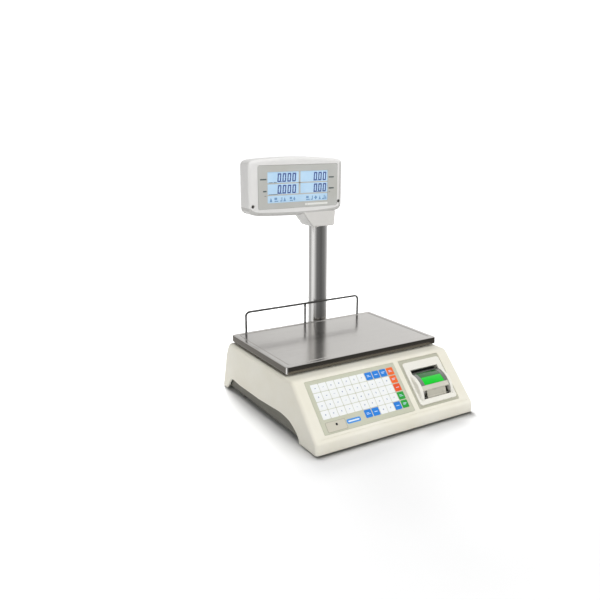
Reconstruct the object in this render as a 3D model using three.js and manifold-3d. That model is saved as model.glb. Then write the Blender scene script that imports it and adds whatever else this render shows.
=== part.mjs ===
// Retail price scale: sheet-steel weighing platter with a wire goods rail on an ivory moulded
// casing, a sloping operator panel with a membrane keyboard and a receipt printer, and a
// two-sided display head that swivels on a round column behind the platter.
//
// Units are millimetres. +X is to the operator's right, +Y runs away from the operator and +Z is up.
// The pieces are drawn in a casing frame (Z = 0 at the lower front edge of the casing, Y = 0 at the
// middle of the platter) and the whole group is then moved so that the origin is the bottom centre
// of the object's box.

import * as THREE from 'three';
import { mergeVertices } from 'three/addons/utils/BufferGeometryUtils.js';
import Module from 'manifold-3d';

const wasm = await Module();
wasm.setup();

// ---------------------------------------------------------------- driving dimensions (mm)
const FOOT_DROP = 3;            // casing edge above the table
const GAP = 0.3;                // clearance between neighbouring pieces

const PLATTER_W = 370, PLATTER_D = 240, PLATTER_TOP = 129, PLATTER_FLANGE = 14, PLATTER_SHEET = 1.5;
const CASE_HALF_W = 190, CASE_DECK_Z = 110, CASE_WALL = 3.5;
const SLOPE_DEG = 46.274, SLOPE_Y0 = -222, SLOPE_Z0 = 29.6;   // operator panel plane
const PANEL_RECESS = 1.8;
const KEY_X0 = -165, KEY_X1 = 44.5, KEY_S1 = 106;             // keyboard recess
const PRN_X0 = 56.3, PRN_X1 = 161.5, PRN_S1 = 106;            // printer recess
const BEZ_X0 = 61.5, BEZ_X1 = 157.5, BEZ_S0 = 5.5, BEZ_S1 = 98;
const OPEN_X0 = 74, OPEN_X1 = 145, OPEN_S0 = 16, OPEN_S1 = 80.5;
const DRUM_S = 42, DRUM_H = -32, CHEEK_R = 45, LID_R = 43.5;  // drum-shaped printer lid
const HINGE_S = 19, HINGE_H = 1.5;                            // lid hinge line
const ROLL_S = 46, ROLL_H = -15, ROLL_R = 22.5, ROLL_W = 57;
const PLATEN_S = 78, PLATEN_H = -15.5, PLATEN_R = 6;
const GEAR_MODULE = 0.8, GEAR_TEETH = 26, PINION_TEETH = 12;
const PINION_S = 80.5, PINION_H = -30.49;
const COL_X = 53, COL_Y = 148, COL_R = 22.35, COL_WALL = 1.5; // display column
const COL_Z0 = 12.6, COL_Z1 = 371.7;
const NOTCH_X0 = 26, NOTCH_X1 = 80, NOTCH_Y = 122;
const HEAD_Y0 = 126, HEAD_Y1 = 170.5, HEAD_WALL = 2.6;
const NECK_Y0 = 123.5, NECK_Y1 = 172.5;
const LCD_X0 = -89, LCD_X1 = 64, LCD_Z0 = 406, LCD_Z1 = 472;
const PANEL_X0 = -112, PANEL_X1 = 90, PANEL_Z0 = 393, PANEL_Z1 = 486;
const RAIL_X0 = -148.5, RAIL_XM = 3, RAIL_X1 = 151.2, RAIL_TOP = 175, RAIL_R = 2.4, RAIL_Y = 122.8;
const FOOT_X = 163, FOOT_Y_REAR = 78, FOOT_Y_FRONT = -190, FOOT_R = 15;

const ROCKER_TILT = 8;          // half of the rocker's travel, degrees

const Y_SHIFT = 27.8;           // moves the group so that its box is centred on Y = 0

// ---------------------------------------------------------------- helpers
const M4 = () => new THREE.Matrix4();

function solid(geometry, matrix) {
  let g = geometry.clone();
  g.deleteAttribute('normal');
  g.deleteAttribute('uv');
  if (matrix) g.applyMatrix4(matrix);
  g = mergeVertices(g, 1e-4);
  const tris = [];
  const ix = g.index.array;
  for (let i = 0; i < ix.length; i += 3) {
    const a = ix[i], b = ix[i + 1], c = ix[i + 2];
    if (a !== b && b !== c && a !== c) tris.push(a, b, c);
  }
  return new wasm.Manifold(new wasm.Mesh({
    numProp: 3,
    vertProperties: Float32Array.from(g.attributes.position.array),
    triVerts: Uint32Array.from(tris),
  }));
}

function box(x0, x1, y0, y1, z0, z1, matrix) {
  const g = new THREE.BoxGeometry(x1 - x0, y1 - y0, z1 - z0);
  g.translate((x0 + x1) / 2, (y0 + y1) / 2, (z0 + z1) / 2);
  return solid(g, matrix);
}

function cyl(axis, cx, cy, cz, r, length, seg = 20, rTop = r) {
  // starts at (cx, cy, cz) and runs along +axis
  const g = new THREE.CylinderGeometry(rTop, r, length, seg);
  g.translate(0, length / 2, 0);
  if (axis === 'z') g.rotateX(Math.PI / 2);
  if (axis === 'x') g.rotateZ(-Math.PI / 2);
  g.translate(cx, cy, cz);
  return solid(g);
}

function outline(points) {
  return new THREE.Shape(points.map(([u, v]) => new THREE.Vector2(u, v)));
}

function rounded(x0, x1, y0, y1, r, seg = 4) {
  const pts = [];
  for (const [cx, cy, a0] of [[x1 - r, y0 + r, -90], [x1 - r, y1 - r, 0], [x0 + r, y1 - r, 90], [x0 + r, y0 + r, 180]]) {
    for (let i = 0; i <= seg; i++) {
      const a = THREE.MathUtils.degToRad(a0 + 90 * i / seg);
      pts.push([cx + r * Math.cos(a), cy + r * Math.sin(a)]);
    }
  }
  return pts;
}

function extrude(points, depth, bevel = 0, bevelSegments = 3, holes = [], bevelWidth = bevel) {
  const shape = outline(points);
  for (const h of holes) shape.holes.push(new THREE.Path(h.map(([u, v]) => new THREE.Vector2(u, v))));
  return new THREE.ExtrudeGeometry(shape, bevel
    ? { depth: depth - 2 * bevel, bevelEnabled: true, bevelThickness: bevel, bevelSize: bevelWidth, bevelOffset: -bevelWidth, bevelSegments, curveSegments: 8 }
    : { depth, bevelEnabled: false, curveSegments: 8 });
}

// profile in (y, z), solid between x0 and x1
function alongX(points, x0, x1, bevel = 0, seg = 3) {
  const g = extrude(points, x1 - x0, bevel, seg);
  if (bevel) g.translate(0, 0, bevel);
  const m = M4().makeBasis(new THREE.Vector3(0, 1, 0), new THREE.Vector3(0, 0, 1), new THREE.Vector3(1, 0, 0));
  g.applyMatrix4(m);
  g.translate(x0, 0, 0);
  return solid(g);
}

// profile in (x, z), solid between y0 and y1
function alongY(points, y0, y1, bevel = 0, seg = 3, holes = [], bevelWidth = bevel) {
  const g = extrude(points, y1 - y0, bevel, seg, holes, bevelWidth);
  if (bevel) g.translate(0, 0, bevel);
  const m = M4().makeBasis(new THREE.Vector3(1, 0, 0), new THREE.Vector3(0, 0, 1), new THREE.Vector3(0, -1, 0));
  g.applyMatrix4(m);
  g.translate(0, y1, 0);
  return solid(g);
}

// profile in (x, y), solid between z0 and z1
function alongZ(points, z0, z1, bevel = 0, seg = 3, holes = []) {
  const g = extrude(points, z1 - z0, bevel, seg, holes);
  if (bevel) g.translate(0, 0, bevel);
  g.translate(0, 0, z0);
  return solid(g);
}

// round bar that follows a chain of points, with mitred bends; side is any direction square to the chain's plane
function sweep(points, radius, sides, side) {
  const pos = [], idx = [], n = points.length;
  const w = side.clone().normalize();
  for (let i = 0; i < n; i++) {
    const din = i > 0 ? points[i].clone().sub(points[i - 1]).normalize() : null;
    const dout = i < n - 1 ? points[i + 1].clone().sub(points[i]).normalize() : null;
    const t = (din && dout) ? din.clone().add(dout).normalize() : (din || dout).clone();
    const u = new THREE.Vector3().crossVectors(w, t).normalize();
    const stretch = (din && dout) ? 1 / Math.max(0.5, t.dot(dout)) : 1;
    for (let k = 0; k < sides; k++) {
      const a = 2 * Math.PI * (k + 0.5) / sides;
      const p = points[i].clone().addScaledVector(u, radius * Math.cos(a) * stretch).addScaledVector(w, radius * Math.sin(a));
      pos.push(p.x, p.y, p.z);
    }
  }
  for (let i = 0; i < n - 1; i++) for (let k = 0; k < sides; k++) {
    const a = i * sides + k, b = i * sides + (k + 1) % sides, c = a + sides, d = b + sides;
    idx.push(a, c, b, b, c, d);
  }
  for (let k = 1; k < sides - 1; k++) {
    idx.push(0, k, k + 1);
    const o = (n - 1) * sides;
    idx.push(o, o + k + 1, o + k);
  }
  const g = new THREE.BufferGeometry();
  g.setAttribute('position', new THREE.BufferAttribute(new Float32Array(pos), 3));
  g.setIndex(idx);
  let m = solid(g);
  if (m.volume() < 0) {
    for (let i = 0; i < idx.length; i += 3) { const q = idx[i]; idx[i] = idx[i + 1]; idx[i + 1] = q; }
    g.setIndex(idx);
    m = solid(g);
  }
  return m;
}

function union(...parts) { return parts.reduce((a, b) => a.add(b)); }
function cut(a, ...tools) { return tools.reduce((s, t) => s.subtract(t), a); }

// solid of revolution about a line parallel to Z through (cx, cy); profile is [radius, z]
function lathe(profile, cx, cy, seg = 24) {
  const g = new THREE.LatheGeometry(profile.map(([r, z]) => new THREE.Vector2(r, z)), seg);
  g.rotateX(Math.PI / 2);
  g.translate(cx, cy, 0);
  let s = solid(g);
  if (s.volume() < 0) {
    const f = g.clone();
    const idx = f.index.array;
    for (let i = 0; i < idx.length; i += 3) { const t = idx[i]; idx[i] = idx[i + 1]; idx[i + 1] = t; }
    s = solid(f);
  }
  return s;
}

const MATERIALS = {
  ivory: [0xe9e6da, 0.45, 0.0],
  dark_base: [0x4b4a47, 0.6, 0.0],
  steel: [0xb9b8b4, 0.28, 1.0],
  bright_steel: [0xc9c9c8, 0.2, 1.0],
  overlay: [0xc4c4b0, 0.5, 0.0],
  white: [0xeceae2, 0.4, 0.0],
  black: [0x1d1d1d, 0.5, 0.0],
  smoke: [0x8d918c, 0.15, 0.0],
  green: [0x23c83e, 0.12, 0.0],
  paper: [0xf7f6f1, 0.8, 0.0],
  rubber: [0x262626, 0.8, 0.0],
  alloy: [0xc6c8ca, 0.4, 1.0],
  pcb: [0x1f6a3c, 0.5, 0.0],
  head: [0xe3e2de, 0.45, 0.0],
  fascia: [0xbebdba, 0.5, 0.0],
  lcd: [0xbed7e8, 0.15, 0.0],
  brass: [0xb99a55, 0.35, 1.0],
  nylon: [0xe8e6dc, 0.5, 0.0],
  screw: [0xa9a9a8, 0.3, 1.0],
  card: [0xb79a72, 0.9, 0.0],
};

const root = new THREE.Group();
root.name = 'price_scale';
root.position.set(0, Y_SHIFT, FOOT_DROP);

const slope = new THREE.Group();          // panel frame: X across, Y up the slope, Z out of it
slope.position.set(0, SLOPE_Y0, SLOPE_Z0);
slope.rotation.x = THREE.MathUtils.degToRad(SLOPE_DEG);
slope.updateMatrix();
root.add(slope);

const REAR_DEG = -75.466;                  // rear wall frame: X across, Y down the wall, Z outwards
const rear = new THREE.Group();
rear.position.set(0, 152.945, 44.5);
rear.rotation.x = THREE.MathUtils.degToRad(REAR_DEG);
rear.updateMatrix();
root.add(rear);

function add(name, manifold, material, parent = root) {
  const m = manifold.getMesh();
  const g = new THREE.BufferGeometry();
  g.setAttribute('position', new THREE.BufferAttribute(new Float32Array(m.vertProperties), 3));
  g.setIndex(new THREE.BufferAttribute(new Uint32Array(m.triVerts), 1));
  g.computeVertexNormals();
  const [color, roughness, metalness] = MATERIALS[material];
  const mesh = new THREE.Mesh(g, new THREE.MeshStandardMaterial({ color, roughness, metalness }));
  mesh.name = name;
  parent.add(mesh);
  return mesh;
}

function inFrame(group, geometryMaker) { return geometryMaker.transform(group.matrix.elements); }

// arc of points round the drum axis, from slope coordinate s0 to s1 (upper half of the circle)
function drumArc(r, s0, s1, n) {
  const a0 = Math.acos((s0 - DRUM_S) / r), a1 = Math.acos((s1 - DRUM_S) / r);
  const pts = [];
  for (let i = 0; i <= n; i++) {
    const a = a0 + (a1 - a0) * i / n;
    pts.push([DRUM_S + r * Math.cos(a), DRUM_H + r * Math.sin(a)]);
  }
  return pts;
}

// ---------------------------------------------------------------- casing
const caseProfile = [
  [-233, -12], [-233, 2], [-232.4, 12], [-231, 20.2], [-227.4, 24.2], [-222, 29.6], [-185, 68.3], [-151, 103.8],
  [-147.5, 107], [-144, 109], [-139.5, 110], [117, 110], [124, 108.8], [129.5, 105], [134, 99.5], [139, 90.5],
  [144, 79], [165, -2], [167.6, -12],
];
const inCaseProfile = [
  [-229.5, -14], [-229.5, 2], [-229, 11], [-227.7, 18.4], [-224.9, 21.8], [-219.5, 27.2], [-182.5, 65.9], [-149, 100.9],
  [-145.5, 104], [-142.5, 105.8], [-139, 106.5], [116.5, 106.5], [122.5, 105.4], [127, 102.4], [131, 97.6], [135.7, 89.2],
  [140.6, 78], [161.6, -3], [164.5, -14],
];
const archSide = [
  [-172, -14], [-172, 6], [-166, 13], [-155, 21], [-146, 26], [-137, 30], [-118, 33], [-99, 34], [-58, 31], [-15, 28], [30, 27.4],
  [78, 26.5], [98, 28], [111, 29], [119, 25.5], [126, 18.5], [134, 9], [140.5, 1.5], [143, -14],
];
let casing = alongX(caseProfile, -CASE_HALF_W, CASE_HALF_W, 7, 4);
let cavity = alongX(inCaseProfile, -CASE_HALF_W + CASE_WALL, CASE_HALF_W - CASE_WALL, 4, 2);
// vertical channel for the column in the rear wall
cavity = cut(cavity, box(NOTCH_X0 - 3, NOTCH_X1 + 3, NOTCH_Y - 3, 190, -20, 130));
casing = cut(casing,
  cavity,
  box(NOTCH_X0, NOTCH_X1, NOTCH_Y, 190, -20, 130),
  box(-300, 300, -300, 300, -40, 0),
  alongX(archSide, -200, -183), alongX(archSide, 183, 200),
  box(NOTCH_X0 - 4, NOTCH_X1 + 4, 112, 156, -5, 8.5),
  box(NOTCH_X0 + 1.4, NOTCH_X1 - 1.4, 112, 124, -5, 12.7),
  box(COL_X - 7, COL_X + 7, 112, 124, 10, 34),
  // deck openings: load-cell post and spirit level
  box(31, 69, -19, 19, 100, 120),
  cyl('z', -120, 88, 100, 11.4, 20, 24),
  // operator panel: keyboard recess, printer recess and printer aperture
  inFrame(slope, box(KEY_X0, KEY_X1, 0, KEY_S1, -PANEL_RECESS, 20)),
  inFrame(slope, box(PRN_X0, PRN_X1, 0, PRN_S1, -PANEL_RECESS, 20)),
  inFrame(slope, box(71, 148, 11.5, 94, -12, 20)),
  inFrame(slope, box(-60, 0, 40, 60, -12, 0)),
  // rear wall opening for the connector panel
  inFrame(rear, box(-152, -62, -20, 16, -12, 20)),
);
add('top_casing', casing, 'ivory');

// ---------------------------------------------------------------- base tray and feet
let tray = union(
  alongZ(rounded(-182, 182, -224, 148, 10), 5, 8),
  cut(alongZ(rounded(-182, 182, -196, 140, 8), 7, 42), alongZ(rounded(-179.5, 179.5, -193.5, 137.5, 6), 6, 60)),
  box(NOTCH_X0 + 1, NOTCH_X1 - 1, 120, 169, 5, 8),
);
tray = cut(tray,
  box(-179, 179, -197, -193, 17, 60),          // low front wall under the panel
  box(-160, -54, 130, 145, 20, 60),            // room for the connectors
  box(NOTCH_X0 - 4, NOTCH_X1 + 4, 118, 170, 8, 60),
  box(NOTCH_X0 - 4, NOTCH_X0 + 1, 152, 175, 0, 60), box(NOTCH_X1 - 1, NOTCH_X1 + 4, 152, 175, 0, 60));
for (const [x, y] of [[FOOT_X, FOOT_Y_REAR], [-FOOT_X, FOOT_Y_REAR], [FOOT_X, FOOT_Y_FRONT], [-FOOT_X, FOOT_Y_FRONT]]) {
  tray = cut(tray.add(cyl('z', x, y, 7.5, 10, 9.5, 16)), cyl('z', x, y, 0, 4.4, 30, 16));
}
// stand-offs for the two circuit boards
for (const [x, y] of [[86, -90], [166, -90], [86, 40], [166, 40], [-144, -24], [-81, -24], [-144, 84], [-81, 84]]) {
  tray = tray.add(cyl('z', x, y, 7.5, 3.2, 6.2, 10));
}
tray = cut(tray, cyl('z', -57, 0, 0, 3.4, 20, 14), cyl('z', -43, 0, 0, 3.4, 20, 14),
  cyl('z', 40, 104, 0, 2.9, 20, 14), cyl('z', 66, 104, 0, 2.9, 20, 14));
add('base_tray', tray, 'dark_base');

function foot(name, x, y) {
  add(name, lathe([[0, -FOOT_DROP], [FOOT_R - 1.2, -FOOT_DROP], [FOOT_R, -FOOT_DROP + 1.2], [FOOT_R, 1.2], [FOOT_R - 2.5, 3.4],
    [4, 3.4], [4, 20], [0, 20]], x, y, 18), 'rubber');
}
foot('foot_front_left', -FOOT_X, FOOT_Y_FRONT);
foot('foot_front_right', FOOT_X, FOOT_Y_FRONT);
foot('foot_rear_left', -FOOT_X, FOOT_Y_REAR);
foot('foot_rear_right', FOOT_X, FOOT_Y_REAR);

// ---------------------------------------------------------------- weighing mechanism
// binocular single-point load cell
let cell = box(-65, 65, -15, 15, 50, 72);
cell = cut(cell,
  cyl('y', -13, -20, 61, 7.5, 40, 20), cyl('y', 13, -20, 61, 7.5, 40, 20), box(-13, 13, -20, 20, 58.5, 63.5),
  cyl('z', -57, 0, 45, 3.3, 18, 14), cyl('z', -43, 0, 45, 3.3, 18, 14),
  cyl('z', 43, 0, 59, 3.3, 20, 14), cyl('z', 57, 0, 59, 3.3, 20, 14));
add('load_cell', cell, 'alloy');
add('load_cell_base_block', cut(box(-64, -36, -14, 14, 8.3, 49.7),
  cyl('z', -57, 0, 0, 3.4, 60, 14), cyl('z', -43, 0, 0, 3.4, 60, 14)), 'alloy');
add('load_cell_top_block', cut(box(36, 64, -14, 14, 72.3, 112.7),
  cyl('z', 43, 0, 70, 3.4, 60, 14), cyl('z', 57, 0, 70, 3.4, 60, 14)), 'alloy');
for (const [n, x] of [['load_cell_bolt_lower_outer', -57], ['load_cell_bolt_lower_inner', -43]]) {
  add(n, union(cyl('z', x, 0, 1, 5, 3.7, 6), cyl('z', x, 0, 4, 3, 56, 12)), 'screw');
}
for (const [n, x] of [['load_cell_bolt_upper_inner', 43], ['load_cell_bolt_upper_outer', 57]]) {
  add(n, union(cyl('z', x, 0, 117.3, 5, 4, 6), cyl('z', x, 0, 61, 3, 57, 12)), 'screw');
}
// spider: pressed plate with four arms
const armPts = (sx, sy) => sx * sy > 0
  ? [[sx * 20, sy * 34], [sx * 44, sy * 8], [sx * 152, sy * 84], [sx * 138, sy * 100]]
  : [[sx * 44, sy * 8], [sx * 20, sy * 34], [sx * 138, sy * 100], [sx * 152, sy * 84]];
const ccw = (p) => {
  let a = 0;
  for (let i = 0; i < p.length; i++) { const [x0, y0] = p[i], [x1, y1] = p[(i + 1) % p.length]; a += x0 * y1 - x1 * y0; }
  return a < 0 ? [...p].reverse() : p;
};
let spider = alongZ(rounded(-46, 74, -36, 36, 10), 113, 117);
for (const sx of [-1, 1]) for (const sy of [-1, 1]) spider = spider.add(alongZ(ccw(armPts(sx, sy)), 113, 117));
for (const sx of [-1, 1]) for (const sy of [-1, 1]) spider = cut(spider.add(cyl('z', sx * 144, sy * 90, 113, 12, 4, 20)), cyl('z', sx * 144, sy * 90, 100, 3.3, 30, 14));
spider = cut(spider, cyl('z', 43, 0, 100, 3.4, 30, 14), cyl('z', 57, 0, 100, 3.4, 30, 14));
add('platter_spider', spider, 'alloy');
for (const [n, sx, sy] of [['platter_pad_front_left', -1, -1], ['platter_pad_front_right', 1, -1], ['platter_pad_rear_left', -1, 1], ['platter_pad_rear_right', 1, 1]]) {
  add(n, lathe([[0, 111.5], [2.9, 111.5], [2.9, 117.3], [8, 117.3], [8.5, 118.3], [8.5, 125.2], [7.2, 126.9], [0, 126.9]], sx * 144, sy * 90, 16), 'rubber');
}

// platter: pan of thin sheet with a turned-down flange and a slightly sunk centre panel
const px = PLATTER_W / 2, py = PLATTER_D / 2;
let platter = alongZ(rounded(-px, px, -py, py, 6, 4), PLATTER_TOP - PLATTER_FLANGE - 3, PLATTER_TOP, 1.5, 2);
platter = cut(platter,
  box(-300, 300, -300, 300, 100, PLATTER_TOP - PLATTER_FLANGE),
  alongZ(rounded(-px + PLATTER_SHEET, px - PLATTER_SHEET, -py + PLATTER_SHEET, py - PLATTER_SHEET, 4.6, 4), 90, PLATTER_TOP - PLATTER_SHEET - 0.3),
  alongZ(rounded(-px + 11, px - 11, -py + 11, py - 11, 4, 3), PLATTER_TOP - 0.5, PLATTER_TOP + 5));
add('platter', platter, 'steel');

// wire goods rail: bent wire with rounded corners and a centre leg
{
  const R = 9, top = RAIL_TOP - RAIL_R, z0 = 117;
  const V = (x, z) => new THREE.Vector3(x, RAIL_Y, z);
  const corner = (cx, cz, a0, a1) => {
    const pts = [];
    for (let i = 0; i <= 5; i++) { const a = THREE.MathUtils.degToRad(a0 + (a1 - a0) * i / 5); pts.push(V(cx + R * Math.cos(a), cz + R * Math.sin(a))); }
    return pts;
  };
  const pts = [V(RAIL_X0, z0), ...corner(RAIL_X0 + R, top - R, 180, 90), ...corner(RAIL_X1 - R, top - R, 90, 0), V(RAIL_X1, z0)];
  let rail = sweep(pts, RAIL_R, 10, new THREE.Vector3(0, 1, 0));
  rail = rail.add(cyl('z', RAIL_XM, RAIL_Y, z0, RAIL_R, top - z0, 10));
  add('wire_rail', rail, 'bright_steel');
}
add('spirit_level', lathe([[0, 103.5], [10.9, 103.5], [10.9, 110.6], [12.6, 110.6], [12.6, 111.9], [9, 112.3], [0, 112.3]], -120, 88, 24), 'lcd');

// ---------------------------------------------------------------- operator panel
add('keyboard_overlay', cut(alongZ(rounded(KEY_X0 + GAP, KEY_X1 - GAP, GAP, KEY_S1 - GAP, 1.5, 2), -PANEL_RECESS + GAP, -0.3),
  cyl('z', -132.8, 15.2, -10, 2.9, 20, 16)), 'overlay', slope);
add('power_lamp', lathe([[0, -1.5], [2.5, -1.5], [2.5, -0.1], [1.8, 0.35], [0, 0.5]], -132.8, 15.2, 16), 'black', slope);
{
  let board = box(KEY_X0 + 2, KEY_X1 - 2, 3, KEY_S1 - 3, -5.6, -4);
  board = board.add(box(-90, -66, 44, 56, -8.4, -5)).add(box(-40, -20, 46, 54, -9.4, -5)).add(box(8, 30, 42, 60, -8.8, -5));
  add('keypad_board', board, 'pcb', slope);
}

// ---------------------------------------------------------------- receipt printer
{
  // bezel plate with two raised fenders that follow the drum of the lid
  const cheek = [[12.5, -10], [12.5, 0], ...drumArc(CHEEK_R, 15.5, 76, 12), [79.5, -6], [79.5, -10]];
  let bezel = alongZ(rounded(BEZ_X0, BEZ_X1, BEZ_S0, BEZ_S1, 6, 3), -PANEL_RECESS + GAP, 2.6, 0);
  bezel = union(bezel,
    alongX(cheek, OPEN_X0 - 7.5, OPEN_X0 + 3, 2, 2), alongX(cheek, OPEN_X1 - 3, OPEN_X1 + 7.5, 2, 2));
  bezel = cut(bezel,
    box(OPEN_X0, OPEN_X1, OPEN_S0, OPEN_S1, -10, 40),
    box(BEZ_X0 - 5, BEZ_X1 + 5, 0, 110, -20, -PANEL_RECESS + GAP),
    cyl('x', OPEN_X0 - 4.5, HINGE_S, HINGE_H, 1.85, OPEN_X1 - OPEN_X0 + 9, 14));
  add('printer_bezel', bezel, 'white', slope);

  // lid: curved shell, open window, narrower tongue that ends in the hinge knuckle
  const shell = [...drumArc(LID_R, 30.2, 76.2, 14), ...drumArc(LID_R - 2.2, 30.2, 75.2, 14).reverse()];
  let lid = alongX(ccw(shell), 75, 144);
  const tongue = [...drumArc(LID_R - 1.1, 19.4, 31.5, 4), ...drumArc(LID_R - 2.2, 21, 31.5, 4).reverse()];
  lid = union(lid, alongX(ccw(tongue), 85, 134), cyl('x', 85, HINGE_S, HINGE_H, 2.6, 49, 16));
  lid = cut(lid, cyl('x', 80, HINGE_S, HINGE_H, 1.85, 60, 14),
    box(84.7, 136.3, 40.7, 71.3, -40, 40));
  add('printer_lid', lid, 'smoke', slope);
  const win = [...drumArc(LID_R, 41, 71, 10), ...drumArc(LID_R - 2.2, 41, 71, 10).reverse()];
  add('lid_window', alongX(ccw(win), 85, 136), 'green', slope);
  add('lid_hinge_pin', cyl('x', OPEN_X0 - 4, HINGE_S, HINGE_H, 1.5, OPEN_X1 - OPEN_X0 + 8, 12), 'screw', slope);

  // tear bar under the upper edge of the aperture, with teeth towards the slot
  const teeth = [];
  const n = 22, w = 66 / n;
  for (let i = 0; i < n; i++) { teeth.push([76.5 + i * w, 80.2]); teeth.push([76.5 + (i + 0.5) * w, 79.2]); }
  teeth.push([142.5, 80.2], [142.5, 90], [76.5, 90]);
  add('tear_bar', alongZ(ccw(teeth), -3, -1.8), 'steel', slope);

  // chassis: open bucket for the paper roll and side plates for the print mechanism
  let chassis = box(75, 144, 14, 92, -43, -3.9);
  chassis = cut(chassis, box(78, 141, 16.5, 89.6, -40.8, 10), box(70, 150, 24, 81, -8.8, 10),
    cyl('x', 70, PLATEN_S, PLATEN_H, 2.35, 80, 14), cyl('x', 139, PINION_S, PINION_H, 3.2, 10, 14));
  add('printer_chassis', chassis, 'black', slope);
  add('platen_roller', union(cyl('x', 79.5, PLATEN_S, PLATEN_H, PLATEN_R, 60, 20), cyl('x', 75, PLATEN_S, PLATEN_H, 2, 75.5, 12)).subtract(
    box(149.2, 151, PLATEN_S + 1.2, PLATEN_S + 5, -30, 0)), 'rubber', slope);
  add('thermal_head', union(box(79.5, 139.5, PLATEN_S + PLATEN_R + 0.3, 86.2, -22, -8), box(84, 135, 86, 89, -20, -9)), 'alloy', slope);
  add('paper_roll', cut(cyl('x', 109.5 - ROLL_W / 2, ROLL_S, ROLL_H, ROLL_R, ROLL_W, 40), cyl('x', 60, ROLL_S, ROLL_H, 6.7, 100, 20)), 'paper', slope);
  add('paper_core', cut(cyl('x', 109.5 - ROLL_W / 2 - 0.5, ROLL_S, ROLL_H, 6.4, ROLL_W + 1, 20), cyl('x', 60, ROLL_S, ROLL_H, 5.2, 100, 20)), 'card', slope);
  add('paper_motor', union(cyl('x', 126, PINION_S, PINION_H, 8, 14.6, 20), cyl('x', 138, PINION_S, PINION_H, 2.9, 4.5, 14)).subtract(
    cyl('x', 132, PINION_S, PINION_H, 1.5, 20, 12)), 'alloy', slope);

  // involute-like spur gears with running clearance
  const gear = (teethN, phase, bore, s, h, x0, x1) => {
    const m = GEAR_MODULE, rp = m * teethN / 2, rb = rp * Math.cos(20 * Math.PI / 180), ra = rp + 0.9 * m, rr = rp - 1.25 * m;
    const inv = (a) => Math.tan(a) - a;
    const halfAt = (r) => {
      const base = (Math.PI / 2 - 0.14) / teethN + inv(20 * Math.PI / 180);
      if (r <= rb) return base;
      return base - inv(Math.acos(rb / r));
    };
    const pts = [];
    for (let i = 0; i < teethN; i++) {
      const c = phase + 2 * Math.PI * i / teethN;
      const rs = [rr, Math.max(rb, rr + 0.15), rp, ra];
      for (const r of rs) pts.push([r, c - halfAt(r)]);
      for (const r of [...rs].reverse()) pts.push([r, c + halfAt(r)]);
    }
    const p = pts.map(([r, a]) => [s + r * Math.cos(a), h + r * Math.sin(a)]);
    let g = alongX(p, x0, x1);
    if (bore > 0) g = g.subtract(cyl('x', x0 - 5, s, h, bore, x1 - x0 + 10, 14));
    return g;
  };
  const dir = Math.atan2(PINION_H - PLATEN_H, PINION_S - PLATEN_S);
  add('platen_gear', gear(GEAR_TEETH, dir, 2.3, PLATEN_S, PLATEN_H, 145, 149), 'nylon', slope);
  const pin = gear(PINION_TEETH, dir + Math.PI + Math.PI / PINION_TEETH, 0, PINION_S, PINION_H, 145, 149);
  add('motor_pinion', pin.add(cyl('x', 132.5, PINION_S, PINION_H, 1.2, 13, 10)), 'brass', slope);
}

// ---------------------------------------------------------------- electronics in the tray
{
  let b = box(82, 170, -96, 46, 14, 15.6);
  b = union(b, box(100, 130, -60, -30, 15, 18), box(140, 160, -20, 10, 15, 19), box(96, 116, 0, 30, 15, 21), box(84, 90, -70, -20, 15, 24), box(140, 166, -80, -66, 15, 25));
  add('main_board', b, 'pcb');
  let p = box(-148, -77, -28, 88, 14, 15.6);
  p = union(p, box(-140, -100, -20, 20, 15, 50), box(-96, -86, -10, 40, 15, 40), cyl('z', -120, 50, 15, 9, 24, 16), cyl('z', -98, 60, 15, 7, 20, 16), box(-140, -128, 66, 84, 15, 27));
  add('power_supply', p, 'pcb');
}

// ---------------------------------------------------------------- rear connector panel
{
  const z0 = -5.6, z1 = -4;
  add('rear_panel', cut(alongZ(rounded(-157, -57, -25, 21, 2, 2), z0, z1),
    box(-147, -119.4, -12.3, 8.3, -10, 5), box(-113.3, -99.7, -12.3, 8.3, -10, 5), box(-92.3, -66.7, -9.3, 5.3, -10, 5)), 'steel', rear);
  // mains appliance inlet with a real socket hollow and three blades
  let inlet = union(alongZ(rounded(-149.5, -116.9, -14.8, 10.8, 2, 2), -3.7, -1.6), box(-146.7, -119.7, -12, 8, -27, -3));
  inlet = cut(inlet, box(-144.7, -121.7, -9.6, 5.6, -20, 3));
  for (const x of [-140.2, -133.2, -126.2]) inlet = inlet.add(box(x - 1, x + 1, -4 + (x === -133.2 ? -2 : 1), 0 + (x === -133.2 ? -2 : 1), -22, -6));
  add('mains_inlet', inlet, 'black', rear);
  // rocker switch frame and rocker
  let frame = union(alongZ(rounded(-115, -98, -14.8, 10.8, 1.5, 2), -3.7, -1.6), box(-113, -100, -12, 8, -19, -3));
  frame = cut(frame, box(-111.5, -101.5, -10.5, 6.5, -12, 3));
  add('power_switch_frame', frame, 'black', rear);
  // drawn level, then tipped to the OFF side about its pivot at (-2, -5)
  const tip = THREE.MathUtils.degToRad(ROCKER_TILT), ct = Math.cos(tip), st = Math.sin(tip);
  const level = [[-9.8, -3], [-9.5, -1.2], [-5, -0.5], [-2, 0.7], [1, -0.5], [5.5, -1.2], [5.8, -3], [-0.5, -8.5], [-3.5, -8.5]];
  const tipped = level.map(([y, z]) => [-2 + (y + 2) * ct - (z + 5) * st, -5 + (y + 2) * st + (z + 5) * ct]);
  let rocker = alongX(tipped, -111.2, -101.8);
  add('power_rocker', rocker, 'black', rear);
  let port = union(box(-94, -65, -11, 7, -3.7, -2), box(-92, -67, -9, 5, -20, -3));
  port = cut(port, box(-90.5, -80.2, -6.5, 2.5, -15, 2), box(-78.8, -68.5, -6.5, 2.5, -15, 2));
  add('data_ports', port, 'alloy', rear);
}

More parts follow.
